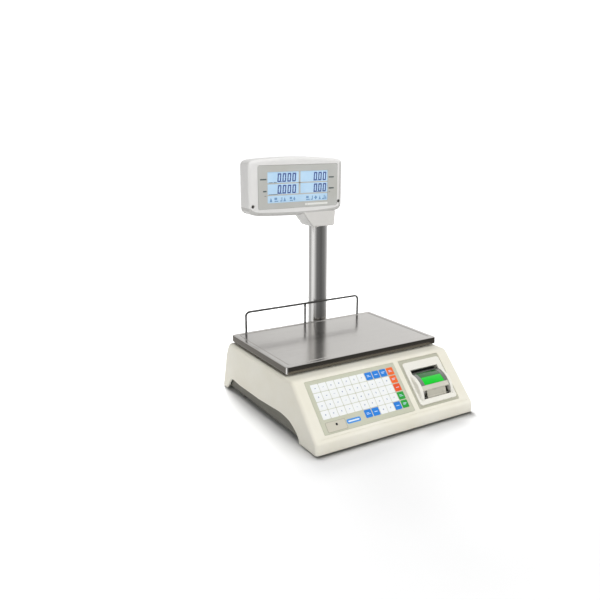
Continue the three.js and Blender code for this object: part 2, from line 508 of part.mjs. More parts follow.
// ---------------------------------------------------------------- column
{
  let socket = union(
    alongZ(rounded(NOTCH_X0 + 0.8, NOTCH_X1 - 0.8, NOTCH_Y + 0.4, 174.4, 8, 4), 8.3, 78, 0),
    box(NOTCH_X0 + 2, NOTCH_X1 - 2, 96, 130, 8.3, 12.3));
  socket = cut(socket, cyl('z', COL_X, COL_Y, 12.3, COL_R + 0.3, 80, 36),
    cyl('z', 40, 104, 0, 3, 20, 14), cyl('z', 66, 104, 0, 3, 20, 14),
    box(COL_X - 6, COL_X + 6, 110, COL_Y, 12.3, 34),
    cyl('y', COL_X, 160, 52, 2.9, 20, 12));
  add('column_socket', socket, 'head');
  let tube = cut(cyl('z', COL_X, COL_Y, COL_Z0, COL_R, COL_Z1 - COL_Z0, 48), cyl('z', COL_X, COL_Y, 0, COL_R - COL_WALL, 400, 48),
    box(COL_X - 5.5, COL_X + 5.5, 110, COL_Y, 0, 33));
  add('column_tube', tube, 'bright_steel');
  add('column_clamp_screw', union(cyl('y', COL_X, COL_Y + COL_R + 0.4, 52, 2.6, 4, 12), cyl('y', COL_X, 174.7, 52, 4.2, 2.6, 14)), 'screw');
  for (const [n, x] of [['column_bolt_left', 40], ['column_bolt_right', 66]]) {
    add(n, union(cyl('z', x, 104, 2.5, 2.5, 10.5, 12), cyl('z', x, 104, 12.6, 4.6, 3, 6)), 'screw');
  }
  // lead from the casing up the middle of the column to the display head
  const pts = [new THREE.Vector3(COL_X, 88, 24), new THREE.Vector3(COL_X, 118, 24), new THREE.Vector3(COL_X, 136, 25)];
  for (let i = 1; i <= 5; i++) { const a = Math.PI / 2 * i / 5; pts.push(new THREE.Vector3(COL_X, 136 + 12 * Math.sin(a), 37 - 12 * Math.cos(a))); }
  pts.push(new THREE.Vector3(COL_X, COL_Y, 389));
  add('display_lead', sweep(pts, 2.5, 8, new THREE.Vector3(1, 0, 0)), 'black');
  add('swivel_plug', cut(
    lathe([[0, 350], [20.5, 350], [20.5, 372], [22.1, 372], [22.1, 376], [16, 376], [16, 380.6], [18.6, 380.6], [18.6, 384.5], [0, 384.5]], COL_X, COL_Y, 28),
    cyl('z', COL_X, COL_Y, 340, 6, 60, 16)), 'nylon');
}

// ---------------------------------------------------------------- display head
{
  const headPts = [
    [-133.5, 396], [-132.6, 391], [-130.4, 387], [-126.6, 383.6], [-121, 381.3], [-107, 379], [-58, 376.9], [-20, 376], [30, 376.6], [66, 378.4], [88, 381], [95, 383.4],
    [99.6, 387], [101.8, 391], [102.5, 396],
    [102.5, 485], [101.6, 489.4], [99.2, 492.8], [95, 495], [84, 497], [60, 499.4], [26, 501.6], [-10, 502.4], [-46, 502], [-84, 500.4], [-118, 497.8], [-126, 496],
    [-130.4, 493.2], [-132.7, 489.4], [-133.5, 485],
  ];
  const inHead = [
    [-130.8, 397], [-130, 392.4], [-127, 388], [-120, 384.4], [-107, 382], [-58, 379.8], [-20, 378.9], [30, 379.5], [66, 381.3], [86, 383.8], [94, 387],
    [98.6, 391.4], [99.8, 397],
    [99.8, 484], [98.4, 488.6], [94, 491.8], [84, 493.6], [60, 496], [26, 498.4], [-10, 499.4], [-46, 499], [-84, 497.4], [-116, 494.8], [-125, 492.4], [-129.6, 488.4], [-130.8, 484],
  ];
  const neckPts = [[25.5, 347.5], [80.5, 347.5], [82.5, 350], [84.5, 380], [85, 392], [-10.5, 392], [2.5, 374.3], [21.5, 350.4]];
  let head = alongY(headPts, HEAD_Y0, HEAD_Y1, 5, 4, [], 8);
  // neck: clipped above the lower edge of the head so that only its root shows below the faces
  const neck = cut(alongY(neckPts, NECK_Y0, NECK_Y1, 2, 2), box(-60, 120, 100, HEAD_Y0 + 3, 381, 420), box(-60, 120, HEAD_Y1 - 3, 200, 381, 420));
  head = head.add(neck);
  head = cut(head, alongY(inHead, HEAD_Y0 + HEAD_WALL, HEAD_Y1 - HEAD_WALL, 0));
  // bore for the tube, a web that the swivel plug clips into, and room for the plug's head above it
  head = cut(head, cyl('z', COL_X, COL_Y, 340, COL_R + 0.35, 36.4, 40), cyl('z', COL_X, COL_Y, 370, 16.4, 20, 32), cyl('z', COL_X, COL_Y, 380.2, 19.3, 12, 32));
  // fascia recess and display openings, front and rear
  for (const [ya, yb, yc, yd] of [[HEAD_Y0 - 5, HEAD_Y0 + 1.2, HEAD_Y0, HEAD_Y0 + 6], [HEAD_Y1 - 1.2, HEAD_Y1 + 5, HEAD_Y1 - 6, HEAD_Y1]]) {
    head = cut(head, alongY(rounded(PANEL_X0, PANEL_X1, PANEL_Z0, PANEL_Z1, 4, 3), ya, yb),
      box(LCD_X0 - 2, LCD_X1 + 2, yc - 1, yd, LCD_Z0 - 2, LCD_Z1 + 2));
  }
  // two case screws run from the front face into posts on the rear shell
  const SCREWS = [['head_screw_left', -124.5, 400.5], ['head_screw_right', 94, 402]];
  for (const [, x, z] of SCREWS) {
    head = head.add(cyl('y', x, HEAD_Y0 + 2, z, 4.6, 42, 12).intersect(alongY(headPts, HEAD_Y0 + 1, HEAD_Y1 - 1, 0)));
    head = cut(head, cyl('y', x, HEAD_Y0 - 5, z, 3.5, 7.4, 14), cyl('y', x, HEAD_Y0, z, 1.9, 34, 12));
  }
  const midY = (HEAD_Y0 + HEAD_Y1) / 2;
  add('head_front_shell', cut(head, box(-300, 300, midY - 0.15, 300, 300, 600)), 'head');
  add('head_rear_shell', cut(head, box(-300, 300, 0, midY + 0.15, 300, 600)), 'head');
  for (const [n, x, z] of SCREWS) {
    add(n, union(cyl('y', x, HEAD_Y0 + 0.4, z, 3.1, 1.7, 14), cyl('y', x, HEAD_Y0 + 1, z, 1.5, 31, 10)), 'screw');
  }
  const fascia = (ya, yb) => alongY(rounded(PANEL_X0 + GAP, PANEL_X1 - GAP, PANEL_Z0 + GAP, PANEL_Z1 - GAP, 3.7, 3), ya, yb, 0, 1,
    [rounded(LCD_X0, LCD_X1, LCD_Z0, LCD_Z1, 1, 1).reverse()]);
  add('operator_fascia', fascia(HEAD_Y0 + 0.1, HEAD_Y0 + 0.9), 'fascia');
  add('customer_fascia', fascia(HEAD_Y1 - 0.9, HEAD_Y1 - 0.1), 'fascia');
  add('operator_lcd', box(LCD_X0 - 1.6, LCD_X1 + 1.6, HEAD_Y0 + 1.25, HEAD_Y0 + 5.6, LCD_Z0 - 1.6, LCD_Z1 + 1.6), 'lcd');
  add('customer_lcd', box(LCD_X0 - 1.6, LCD_X1 + 1.6, HEAD_Y1 - 5.6, HEAD_Y1 - 1.25, LCD_Z0 - 1.6, LCD_Z1 + 1.6), 'lcd');
  let board = box(-100, 78, 140, 141.6, 400, 480);
  board = union(board, box(-80, -50, 141, 144, 430, 450), box(-20, 0, 141, 145, 440, 460), box(20, 60, 141, 150, 408, 420), box(-60, 40, 133, 140.5, 476, 479));
  add('display_board', board, 'pcb');
}

export default root;
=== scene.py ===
import math

import bmesh
import bpy
import numpy as np
from mathutils import Matrix, Vector


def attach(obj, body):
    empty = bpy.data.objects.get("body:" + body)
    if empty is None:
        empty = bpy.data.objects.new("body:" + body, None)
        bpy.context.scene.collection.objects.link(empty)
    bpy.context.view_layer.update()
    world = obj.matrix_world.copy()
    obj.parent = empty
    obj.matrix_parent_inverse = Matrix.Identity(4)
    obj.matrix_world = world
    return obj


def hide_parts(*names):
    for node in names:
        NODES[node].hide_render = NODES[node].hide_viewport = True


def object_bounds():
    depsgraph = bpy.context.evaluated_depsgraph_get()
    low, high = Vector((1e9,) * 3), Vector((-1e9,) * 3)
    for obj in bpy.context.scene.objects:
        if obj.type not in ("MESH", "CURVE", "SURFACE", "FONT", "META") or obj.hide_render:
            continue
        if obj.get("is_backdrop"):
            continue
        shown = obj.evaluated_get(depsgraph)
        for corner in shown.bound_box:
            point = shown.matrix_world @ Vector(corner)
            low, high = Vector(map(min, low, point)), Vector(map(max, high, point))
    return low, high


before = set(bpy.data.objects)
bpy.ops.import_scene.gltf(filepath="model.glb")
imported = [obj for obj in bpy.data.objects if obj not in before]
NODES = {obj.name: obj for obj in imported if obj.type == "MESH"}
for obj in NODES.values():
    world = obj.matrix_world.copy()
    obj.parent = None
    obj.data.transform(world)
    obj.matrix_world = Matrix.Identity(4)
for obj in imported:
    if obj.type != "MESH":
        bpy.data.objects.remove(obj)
cad_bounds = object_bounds()

# ------------------------------------------------------------------ frames (millimetres, scaled when a mesh is made)
def shift(x, y, z):
    return Matrix.Translation((x, y, z))


ROOT = shift(0, 27.8, 3)
SLOPE = ROOT @ shift(0, -222, 29.6) @ Matrix.Rotation(math.radians(46.274), 4, "X")
REAR = ROOT @ shift(0, 152.945, 44.5) @ Matrix.Rotation(math.radians(-75.466), 4, "X")


# ------------------------------------------------------------------ materials
def lin(r, g, b):
    f = lambda c: (c / 255 / 12.92) if c / 255 <= 0.04045 else ((c / 255 + 0.055) / 1.055) ** 2.4
    return (f(r), f(g), f(b), 1.0)


class Mat:
    """Small helper that builds one procedural node material."""

    def __init__(self, name):
        self.m = bpy.data.materials.new(name)
        self.m.use_nodes = True
        self.t = self.m.node_tree
        self.t.nodes.clear()
        self.out = self.t.nodes.new("ShaderNodeOutputMaterial")
        self.p = self.t.nodes.new("ShaderNodeBsdfPrincipled")
        self.t.links.new(self.p.outputs[0], self.out.inputs[0])
        self.co = self.t.nodes.new("ShaderNodeTexCoord")

    def n(self, kind, **k):
        node = self.t.nodes.new(kind)
        for a, v in k.items():
            setattr(node, a, v)
        return node

    def l(self, a, b):
        self.t.links.new(a, b)

    def noise(self, scale, detail=3.0, rough=0.5, stretch=None, distort=0.0):
        src = self.co.outputs["Object"]
        if stretch:
            mp = self.n("ShaderNodeMapping")
            mp.inputs["Scale"].default_value = stretch
            self.l(src, mp.inputs[0])
            src = mp.outputs[0]
        nz = self.n("ShaderNodeTexNoise")
        nz.inputs["Scale"].default_value = scale
        nz.inputs["Detail"].default_value = detail
        nz.inputs["Roughness"].default_value = rough
        nz.inputs["Distortion"].default_value = distort
        self.l(src, nz.inputs["Vector"])
        return nz.outputs[0]

    def ramp(self, src, lo, hi, a, b):
        mr = self.n("ShaderNodeMapRange")
        mr.inputs["From Min"].default_value = lo
        mr.inputs["From Max"].default_value = hi
        mr.inputs["To Min"].default_value = a
        mr.inputs["To Max"].default_value = b
        self.l(src, mr.inputs["Value"])
        return mr.outputs[0]

    def mixc(self, fac, a, b):
        mx = self.n("ShaderNodeMix", data_type="RGBA")
        if isinstance(fac, float):
            mx.inputs[0].default_value = fac
        else:
            self.l(fac, mx.inputs[0])
        for i, v in ((6, a), (7, b)):
            if isinstance(v, tuple):
                mx.inputs[i].default_value = v
            else:
                self.l(v, mx.inputs[i])
        return mx.outputs[2]

    def bump(self, src, distance, strength=1.0, prev=None):
        bp = self.n("ShaderNodeBump")
        bp.inputs["Strength"].default_value = strength
        bp.inputs["Distance"].default_value = distance
        self.l(src, bp.inputs["Height"])
        if prev is not None:
            self.l(prev, bp.inputs["Normal"])
        return bp.outputs[0]

    def set(self, **k):
        names = {"base": "Base Color", "rough": "Roughness", "metal": "Metallic", "spec": "Specular IOR Level", "coat": "Coat Weight",
                 "coat_rough": "Coat Roughness", "trans": "Transmission Weight", "ior": "IOR", "alpha": "Alpha", "sheen": "Sheen Weight",
                 "aniso": "Anisotropic", "em": "Emission Color", "em_s": "Emission Strength", "normal": "Normal", "sss": "Subsurface Weight"}
        for a, v in k.items():
            s = self.p.inputs[names[a]]
            if isinstance(v, (int, float, tuple)):
                s.default_value = v
            else:
                self.l(v, s)
        return self


def shade(c, f):
    return (min(1, c[0] * f), min(1, c[1] * f), min(1, c[2] * f), 1.0)


def plastic(name, rgb, rough=0.42, grain=2600.0, depth=0.00002, vary=0.035, spec=0.5, warm=None, coat=0.0):
    """Moulded plastic: fine spark-eroded grain, faint flow mottling and slightly uneven gloss."""
    k = Mat(name)
    c = lin(*rgb)
    big = k.noise(9.0, 4.0, 0.55)
    fine = k.noise(grain, 2.0, 0.6)
    c2 = lin(*warm) if warm else shade(c, 1 - 2 * vary)
    col = k.mixc(k.ramp(big, 0.35, 0.68, 0.0, 1.0), shade(c, 1 + vary * 0.4), shade(c2, 1 - vary * 0.4) if warm else shade(c, 1 - vary))
    col = k.mixc(k.ramp(fine, 0.3, 0.7, 0.0, 0.10), col, shade(c, 0.78))
    smudge = k.noise(38.0, 5.0, 0.62)
    r = k.ramp(smudge, 0.3, 0.72, rough - 0.05, rough + 0.07)
    nrm = k.bump(fine, depth, 0.7, prev=k.bump(k.noise(grain * 0.33, 2.0, 0.5), depth * 1.4, 0.35))
    k.set(base=col, rough=r, metal=0.0, spec=spec, normal=nrm)
    if coat:
        k.set(coat=coat, coat_rough=0.12)
    return k.m


def steel(name, rgb, rough=0.25, axis="x", streak=1.0, spots=0.0, contrast=0.10, blots=1.0):
    """Ground or drawn steel: long fine streaks along one axis with small changes in gloss."""
    k = Mat(name)
    c = lin(*rgb)
    st = {"x": (6.0, 900.0, 900.0), "y": (900.0, 6.0, 900.0), "z": (900.0, 900.0, 5.0), "o": (300.0, 300.0, 300.0)}[axis]
    fine = k.noise(1.0, 3.0, 0.6, stretch=st)
    wide = k.noise(1.0, 2.0, 0.5, stretch=tuple(v * 0.16 for v in st))
    blot = k.noise(14.0, 4.0, 0.6)
    col = k.mixc(k.ramp(fine, 0.3, 0.7, 0.0, 1.0), shade(c, 1 + contrast * 0.5), shade(c, 1 - contrast))
    col = k.mixc(k.ramp(blot, 0.4, 0.7, 0.0, 0.25 * blots), col, shade(c, 0.86))
    add = k.n("ShaderNodeMath", operation="ADD")
    k.l(k.ramp(wide, 0.3, 0.7, -0.03, 0.04), add.inputs[0])
    k.l(k.ramp(blot, 0.3, 0.7, rough - 0.03 * blots, rough + 0.05 * blots), add.inputs[1])
    nrm = k.bump(fine, 0.0000045 * streak, 0.6)
    k.set(base=col, rough=add.outputs[0], metal=1.0, normal=nrm)
    return k.m


def glassy(name, rgb, rough=0.08, alpha=1.0, vary=0.04, coat=1.0, trans=0.0, em=0.0, inner=None):
    k = Mat(name)
    c = lin(*rgb)
    c2 = lin(*inner) if inner else shade(c, 1 - vary)
    col = k.mixc(k.ramp(k.noise(26.0, 3.0), 0.35, 0.65, 0.0, 1.0), c, c2)
    dust = k.noise(1500.0, 2.0, 0.7)
    k.set(base=col, rough=k.ramp(k.noise(60.0, 4.0), 0.3, 0.7, rough, rough + 0.06), metal=0.0, coat=coat, coat_rough=0.04, spec=0.5,
          normal=k.bump(dust, 0.000004, 0.4))
    if trans:
        k.set(trans=trans, ior=1.49)
    if em:
        k.set(em=c, em_s=em)
    return k.m


M = {}
M["ivory"] = plastic("abs_ivory", (233, 230, 218), 0.42, 2600.0, 0.000018, 0.02, warm=(229, 225, 209))
M["ivory_dark"] = plastic("abs_ivory_inside", (205, 201, 188), 0.55, 2200.0, 0.00002, 0.03)
M["tray"] = plastic("tray_grey", (112, 110, 100), 0.55, 1900.0, 0.00003, 0.06)
M["overlay"] = plastic("overlay_polyester", (196, 197, 178), 0.36, 3800.0, 0.000009, 0.025, coat=0.15)
M["recess"] = plastic("recess_film", (186, 185, 168), 0.42, 3400.0, 0.000009, 0.03)
M["tag"] = plastic("tag_print", (203, 199, 184), 0.40, 3600.0, 0.000008, 0.03)
M["key_white"] = plastic("key_white", (236, 238, 238), 0.34, 3600.0, 0.000008, 0.015, coat=0.2)
M["key_blue"] = plastic("key_blue", (38, 126, 216), 0.34, 3600.0, 0.000008, 0.04, coat=0.2)
M["key_orange"] = plastic("key_orange", (238, 106, 46), 0.34, 3600.0, 0.000008, 0.04, coat=0.2)
M["key_red"] = plastic("key_red", (230, 84, 40), 0.34, 3600.0, 0.000008, 0.04, coat=0.2)
M["key_green"] = plastic("key_green", (42, 160, 62), 0.34, 3600.0, 0.000008, 0.04, coat=0.2)
M["legend"] = plastic("legend_ink", (112, 128, 166), 0.45, 3600.0, 0.000004, 0.05)
M["legend_pale"] = plastic("legend_pale", (196, 222, 246), 0.45, 3600.0, 0.000004, 0.03)
M["tag_edge"] = plastic("tag_edge", (158, 155, 138), 0.45, 3600.0, 0.000006, 0.03)
M["mark_blue"] = plastic("mark_blue", (72, 146, 222), 0.38, 3600.0, 0.000005, 0.04)
M["mark_white"] = plastic("mark_white", (226, 236, 244), 0.38, 3600.0, 0.000005, 0.02)
M["bezel"] = plastic("printer_white", (232, 230, 221), 0.36, 2600.0, 0.000014, 0.02, coat=0.1)
M["black"] = plastic("black_plastic", (26, 26, 26), 0.42, 2400.0, 0.00002, 0.10)
M["deep"] = plastic("black_inside", (14, 14, 14), 0.7, 2000.0, 0.00002, 0.10)
M["smoke"] = glassy("lid_smoke", (120, 124, 118), 0.12, inner=(98, 103, 97))
M["lid_band"] = glassy("lid_band", (212, 210, 197), 0.16, inner=(202, 199, 186))
M["tongue"] = plastic("lid_tongue", (184, 181, 168), 0.30, 2600.0, 0.000012, 0.03, coat=0.4)
# window green that glows (emission 0.24) though it is no lamp: painted light standing in for the lit white paper roll
# seen through it
M["green"] = glassy("window_green", (3, 190, 42), 0.08, em=0.24, inner=(3, 176, 36), coat=0.18)
# darker, faintly glowing copy of the window green for its upper part: painted shade for the dark compartment behind and
# the bezel's shadow
M["green_dark"] = glassy("window_upper_painted_shade", (10, 104, 28), 0.08, em=0.05, inner=(14, 78, 26), coat=0.5)
M["head"] = plastic("head_abs", (228, 227, 225), 0.40, 2600.0, 0.000014, 0.015)
# darker copy of the head plastic for its down-facing and +x-facing faces: painted shade
M["head_painted_shade"] = plastic("head_abs_painted_shade", (196, 195, 192), 0.40, 2600.0, 0.000014, 0.015)
# slightly darker copy of the head plastic for the neck: painted shade
M["head_neck_painted_shade"] = plastic("head_abs_neck_painted_shade", (218, 216, 212), 0.40, 2600.0, 0.000014, 0.015)
M["fascia"] = plastic("fascia_film", (193, 194, 192), 0.42, 3400.0, 0.000008, 0.02, warm=(189, 189, 183))
M["bar_dark"] = plastic("bar_ink_dark", (86, 98, 98), 0.45, 3400.0, 0.000004, 0.05)
M["bar_faint"] = plastic("bar_ink_faint", (150, 152, 150), 0.45, 3400.0, 0.000004, 0.05)
M["bar_white"] = plastic("bar_ink_white", (232, 232, 228), 0.45, 3400.0, 0.000004, 0.02)
M["lcd"] = glassy("lcd_backlight", (170, 200, 224), 0.14, em=0.30, inner=(182, 208, 228))
M["digit"] = plastic("lcd_segment", (58, 78, 150), 0.35, 3000.0, 0.000003, 0.05)
M["icon"] = plastic("lcd_icon", (118, 158, 200), 0.35, 3000.0, 0.000003, 0.05)
M["platter"] = steel("platter_steel", (200, 197, 193), 0.17, "x", 0.7, contrast=0.05, blots=0.35)
# darker copy of the platter steel for the flange sides: painted shade standing in for the dark surroundings the flanges
# reflect
M["platter_edge_painted_shade"] = steel("platter_edge_painted_shade", (118, 113, 106), 0.13, "x", 0.7, contrast=0.05, blots=0.5)
# brighter copy of the platter steel for the rounded corners of the pan: painted highlight
M["platter_corner_painted_highlight"] = steel("platter_corner_painted_highlight", (236, 234, 231), 0.24, "z", 0.5, contrast=0.04, blots=0.4)
M["rail"] = steel("rail_wire", (134, 133, 131), 0.36, "x", 0.6, contrast=0.06)
M["pole"] = steel("column_tube", (216, 215, 213), 0.16, "z", 0.8, contrast=0.05)
M["screw"] = steel("plated_screw", (164, 163, 158), 0.30, "o", 0.8)
M["alloy"] = steel("milled_alloy", (190, 192, 195), 0.38, "x", 1.4)
M["plate"] = steel("zinc_plate", (150, 150, 146), 0.42, "x", 1.0)
M["brass"] = steel("turned_brass", (196, 160, 92), 0.30, "o", 0.8)
M["rubber"] = plastic("rubber_black", (34, 34, 34), 0.78, 1500.0, 0.00004, 0.15, spec=0.3)
M["paper"] = plastic("thermal_paper", (243, 241, 235), 0.75, 1800.0, 0.00001, 0.02, spec=0.3)
M["card"] = plastic("card_core", (176, 148, 108), 0.85, 900.0, 0.00005, 0.10, spec=0.2)
M["nylon"] = plastic("natural_nylon", (226, 223, 210), 0.45, 1600.0, 0.00002, 0.03)
M["pcb"] = plastic("circuit_board", (32, 96, 56), 0.35, 700.0, 0.00002, 0.25, coat=0.3)
M["vial"] = glassy("level_vial", (196, 224, 120), 0.06, inner=(188, 214, 104))


# ------------------------------------------------------------------ mesh helpers (millimetres)
def area2(p):
    x, y = p[:, 0], p[:, 1]
    return float(np.dot(x, np.roll(y, -1)) - np.dot(y, np.roll(x, -1)))


def ccw(p):
    p = np.array(p, float)
    return p if area2(p) > 0 else p[::-1].copy()


def offset(p, d):
    """Moves a closed outline inwards by d, with mitred corners. The outline is counter-clockwise."""
    p = np.array(p, float)
    if abs(d) < 1e-9:
        return p
    a, b = np.roll(p, 1, 0), np.roll(p, -1, 0)
    e1, e2 = p - a, b - p
    n1 = np.stack([-e1[:, 1], e1[:, 0]], 1) / np.maximum(np.hypot(e1[:, 0], e1[:, 1]), 1e-9)[:, None]
    n2 = np.stack([-e2[:, 1], e2[:, 0]], 1) / np.maximum(np.hypot(e2[:, 0], e2[:, 1]), 1e-9)[:, None]
    m = n1 + n2
    k = np.maximum((m * n1).sum(1), 0.25)
    return p + m / k[:, None] * d


def soften(p, r, seg=3):
    """Rounds each corner of a closed outline. Every corner gives seg + 1 points."""
    if r <= 0:
        return np.array(p, float)
    p = np.array(p, float)
    out = []
    for i in range(len(p)):
        a, c, b = p[i - 1], p[i], p[(i + 1) % len(p)]
        la, lb = np.hypot(*(a - c)), np.hypot(*(b - c))
        d = min(r, 0.46 * la, 0.46 * lb)
        s, e = c + (a - c) / max(la, 1e-9) * d, c + (b - c) / max(lb, 1e-9) * d
        for k in range(seg + 1):
            t = k / seg
            out.append((1 - t) ** 2 * s + 2 * t * (1 - t) * c + t * t * e)
    return np.array(out)


def rrect(x0, x1, y0, y1, r, seg=6):
    r = max(r, 0.01)
    out = []
    for cx, cy, a0 in ((x1 - r, y0 + r, -90), (x1 - r, y1 - r, 0), (x0 + r, y1 - r, 90), (x0 + r, y0 + r, 180)):
        for i in range(seg + 1):
            a = math.radians(a0 + 90 * i / seg)
            out.append((cx + r * math.cos(a), cy + r * math.sin(a)))
    return np.array(out)


def lift(axis, p, t):
    p = np.array(p, float)
    c = np.full(len(p), float(t))
    if axis == "x":
        return np.stack([c, p[:, 0], p[:, 1]], 1)
    if axis == "y":
        return np.stack([p[:, 0], c, p[:, 1]], 1)
    return np.stack([p[:, 0], p[:, 1], c], 1)


def loft(rings, mat=0, closed=False, cap0=True, cap1=True):
    """Quads between rings of equal length, with the ends filled."""
    n = len(rings[0])
    v = np.concatenate([np.array(r, float) for r in rings])
    f = []
    m = len(rings)
    for i in range(m if closed else m - 1):
        a, b = i * n, ((i + 1) % m) * n
        for k in range(n):
            q = (k + 1) % n
            f.append((a + k, a + q, b + q, b + k))
    if not closed:
        if cap0:
            f.append(tuple(range(n - 1, -1, -1)))
        if cap1:
            f.append(tuple((m - 1) * n + k for k in range(n)))
    return (v, f, [mat] * len(f))


def prism(axis, pts, lo, hi, b=0.0, bw=None, seg=4, rnd=0.0, rseg=3, ends=(True, True), mat=0):
    """An outline drawn along an axis, its end edges rounded b deep and bw wide."""
    pts = ccw(pts)
    bw = b if bw is None else bw
    rings = []
    if b > 0 and ends[0]:
        for i in range(seg + 1):
            a = math.pi / 2 * i / seg
            rings.append((lo + b * (1 - math.cos(a)), bw * (1 - math.sin(a))))
    else:
        rings.append((lo, 0.0))
    if b > 0 and ends[1]:
        for i in range(seg, -1, -1):
            a = math.pi / 2 * i / seg
            rings.append((hi - b * (1 - math.cos(a)), bw * (1 - math.sin(a))))
    else:
        rings.append((hi, 0.0))
    return loft([lift(axis, soften(offset(pts, d), rnd, rseg), t) for t, d in rings], mat)


def rbox(x0, x1, y0, y1, z0, z1, r=1.0, b=0.4, axis="z", seg=4, bseg=3, mat=0):
    """A box with rounded corners about one axis and softened ends."""
    lim = {"z": ((x0, x1, y0, y1), (z0, z1)), "y": ((x0, x1, z0, z1), (y0, y1)), "x": ((y0, y1, z0, z1), (x0, x1))}[axis]
    (a0, a1, b0, b1), (lo, hi) = lim
    rings = []
    for i in range(bseg + 1):
        a = math.pi / 2 * i / bseg
        rings.append((lo + b * (1 - math.cos(a)), b * (1 - math.sin(a))))
    rings += [(hi + lo - t, d) for t, d in reversed(rings)]
    return loft([lift(axis, rrect(a0 + d, a1 - d, b0 + d, b1 - d, max(r - d, 0.02), seg), t) for t, d in rings], mat)


def flare(axis, ring, lo, top, r, far, seg=5):
    """Cutting tool whose mouth opens out by r as it reaches the surface at top; ring(d) gives the outline grown by d."""
    rings = [(lo, 0.0), (top - r if top > lo else top + r, 0.0)]
    sgn = 1 if top > lo else -1
    for i in range(1, seg + 1):
        a = math.pi / 2 * i / seg
        rings.append((top - sgn * r * (1 - math.sin(a)), r * (1 - math.cos(a))))
    rings.append((far, r))
    return loft([lift(axis, ring(d), t) for t, d in rings])


def lathe(profile, cx, cy, seg=48, axis="z", mat=0):
    """Closed profile of (radius, height) turned about a line parallel to an axis."""
    rings = []
    prof = [(max(r, 0.0), h) for r, h in profile]
    n = seg
    v, f = [], []
    idx = []
    for r, h in prof:
        if r < 1e-6:
            idx.append([len(v)] * n)
            v.append((0, 0, h))
        else:
            s = len(v)
            for k in range(n):
                a = 2 * math.pi * k / n
                v.append((r * math.cos(a), r * math.sin(a), h))
            idx.append(list(range(s, s + n)))
    m = len(prof)
    ends_on_axis = prof[0][0] < 1e-6 and prof[-1][0] < 1e-6
    for i in range(m - 1 if ends_on_axis else m):
        A, B = idx[i], idx[(i + 1) % m]
        for k in range(n):
            q = (k + 1) % n
            face = []
            for w in (A[k], A[q], B[q], B[k]):
                if w not in face:
                    face.append(w)
            if len(face) > 2:
                f.append(tuple(face))
    v = np.array(v, float)
    if axis == "x":
        v = np.stack([v[:, 2], v[:, 0] + cx, v[:, 1] + cy], 1)
    elif axis == "y":
        v = np.stack([v[:, 0] + cx, v[:, 2], v[:, 1] + cy], 1)
    else:
        v = v + np.array([cx, cy, 0])
    return (v, f, [mat] * len(f))


def tube(points, r, sides=24, mat=0):
    """Round bar along a chain of points."""
    P = [Vector(p) for p in points]
    rings = []
    up = None
    for i, p in enumerate(P):
        t = ((P[min(i + 1, len(P) - 1)] - p).normalized() + (p - P[max(i - 1, 0)]).normalized()).normalized()
        if up is None:
            up = t.orthogonal().normalized()
        up = (up - t * up.dot(t)).normalized()
        w = t.cross(up)
        rings.append(np.array([p + up * (r * math.cos(2 * math.pi * k / sides)) + w * (r * math.sin(2 * math.pi * k / sides)) for k in range(sides)]))
    return loft(rings, mat)


def make(name, geo, T, mats, smooth=38.0, wn=True):
    """One mesh object from pieces of geometry, with outward faces and edges split by angle."""
    me = bpy.data.meshes.new(name)
    V, F, I, o = [], [], [], 0
    for v, f, m in geo:
        V.append(v)
        F += [tuple(i + o for i in q) for q in f]
        I += m
        o += len(v)
    V = np.concatenate(V)
    M4 = np.array(T)
    V = (V @ M4[:3, :3].T + M4[:3, 3]) * 0.001
    me.from_pydata([tuple(p) for p in V], [], F)
    me.polygons.foreach_set("material_index", I)
    ob = bpy.data.objects.new(name, me)
    bpy.context.scene.collection.objects.link(ob)
    for m in mats:
        me.materials.append(m)
    bm = bmesh.new()
    bm.from_mesh(me)
    bmesh.ops.recalc_face_normals(bm, faces=bm.faces)
    bm.to_mesh(me)
    bm.free()
    tidy(ob, smooth)
    return ob


def tidy(ob, smooth=38.0):
    me = ob.data
    me.shade_smooth()
    me.set_sharp_from_angle(angle=math.radians(smooth))


def weigh(ob):
    m = ob.modifiers.new("normals", "WEIGHTED_NORMAL")
    m.mode = "FACE_AREA"
    m.keep_sharp = True
    m.weight = 80
    return ob


def boolean(ob, tools, op="DIFFERENCE"):
    """Applies boolean steps to ob; tools are geometry with a frame, and are used up."""
    for geo, T in tools:
        t = make("tool", geo, T, [])
        md = ob.modifiers.new("b", "BOOLEAN")
        md.object = t
        md.operation = op
        md.solver = "EXACT"
        dg = bpy.context.evaluated_depsgraph_get()
        dg.update()
        me = bpy.data.meshes.new_from_object(ob.evaluated_get(dg))
        old = ob.data
        ob.modifiers.clear()
        ob.data = me
        me.name = ob.name
        bpy.data.meshes.remove(old)
        tm = t.data
        bpy.data.objects.remove(t)
        bpy.data.meshes.remove(tm)
    return ob


def clean(ob, smooth=38.0, dist=0.00002):
    bm = bmesh.new()
    bm.from_mesh(ob.data)
    bmesh.ops.remove_doubles(bm, verts=bm.verts, dist=dist)
    bmesh.ops.dissolve_degenerate(bm, dist=dist, edges=bm.edges)
    bm.to_mesh(ob.data)
    bm.free()
    tidy(ob, smooth)
    return ob


def put(ob, body, nodes=()):
    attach(ob, body)
    if nodes:
        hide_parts(*([nodes] if isinstance(nodes, str) else nodes))
    return ob


def round_ring(x0, x1, y0, y1, r, seg=6):
    return lambda d: rrect(x0 - d, x1 + d, y0 - d, y1 + d, r + d, seg)


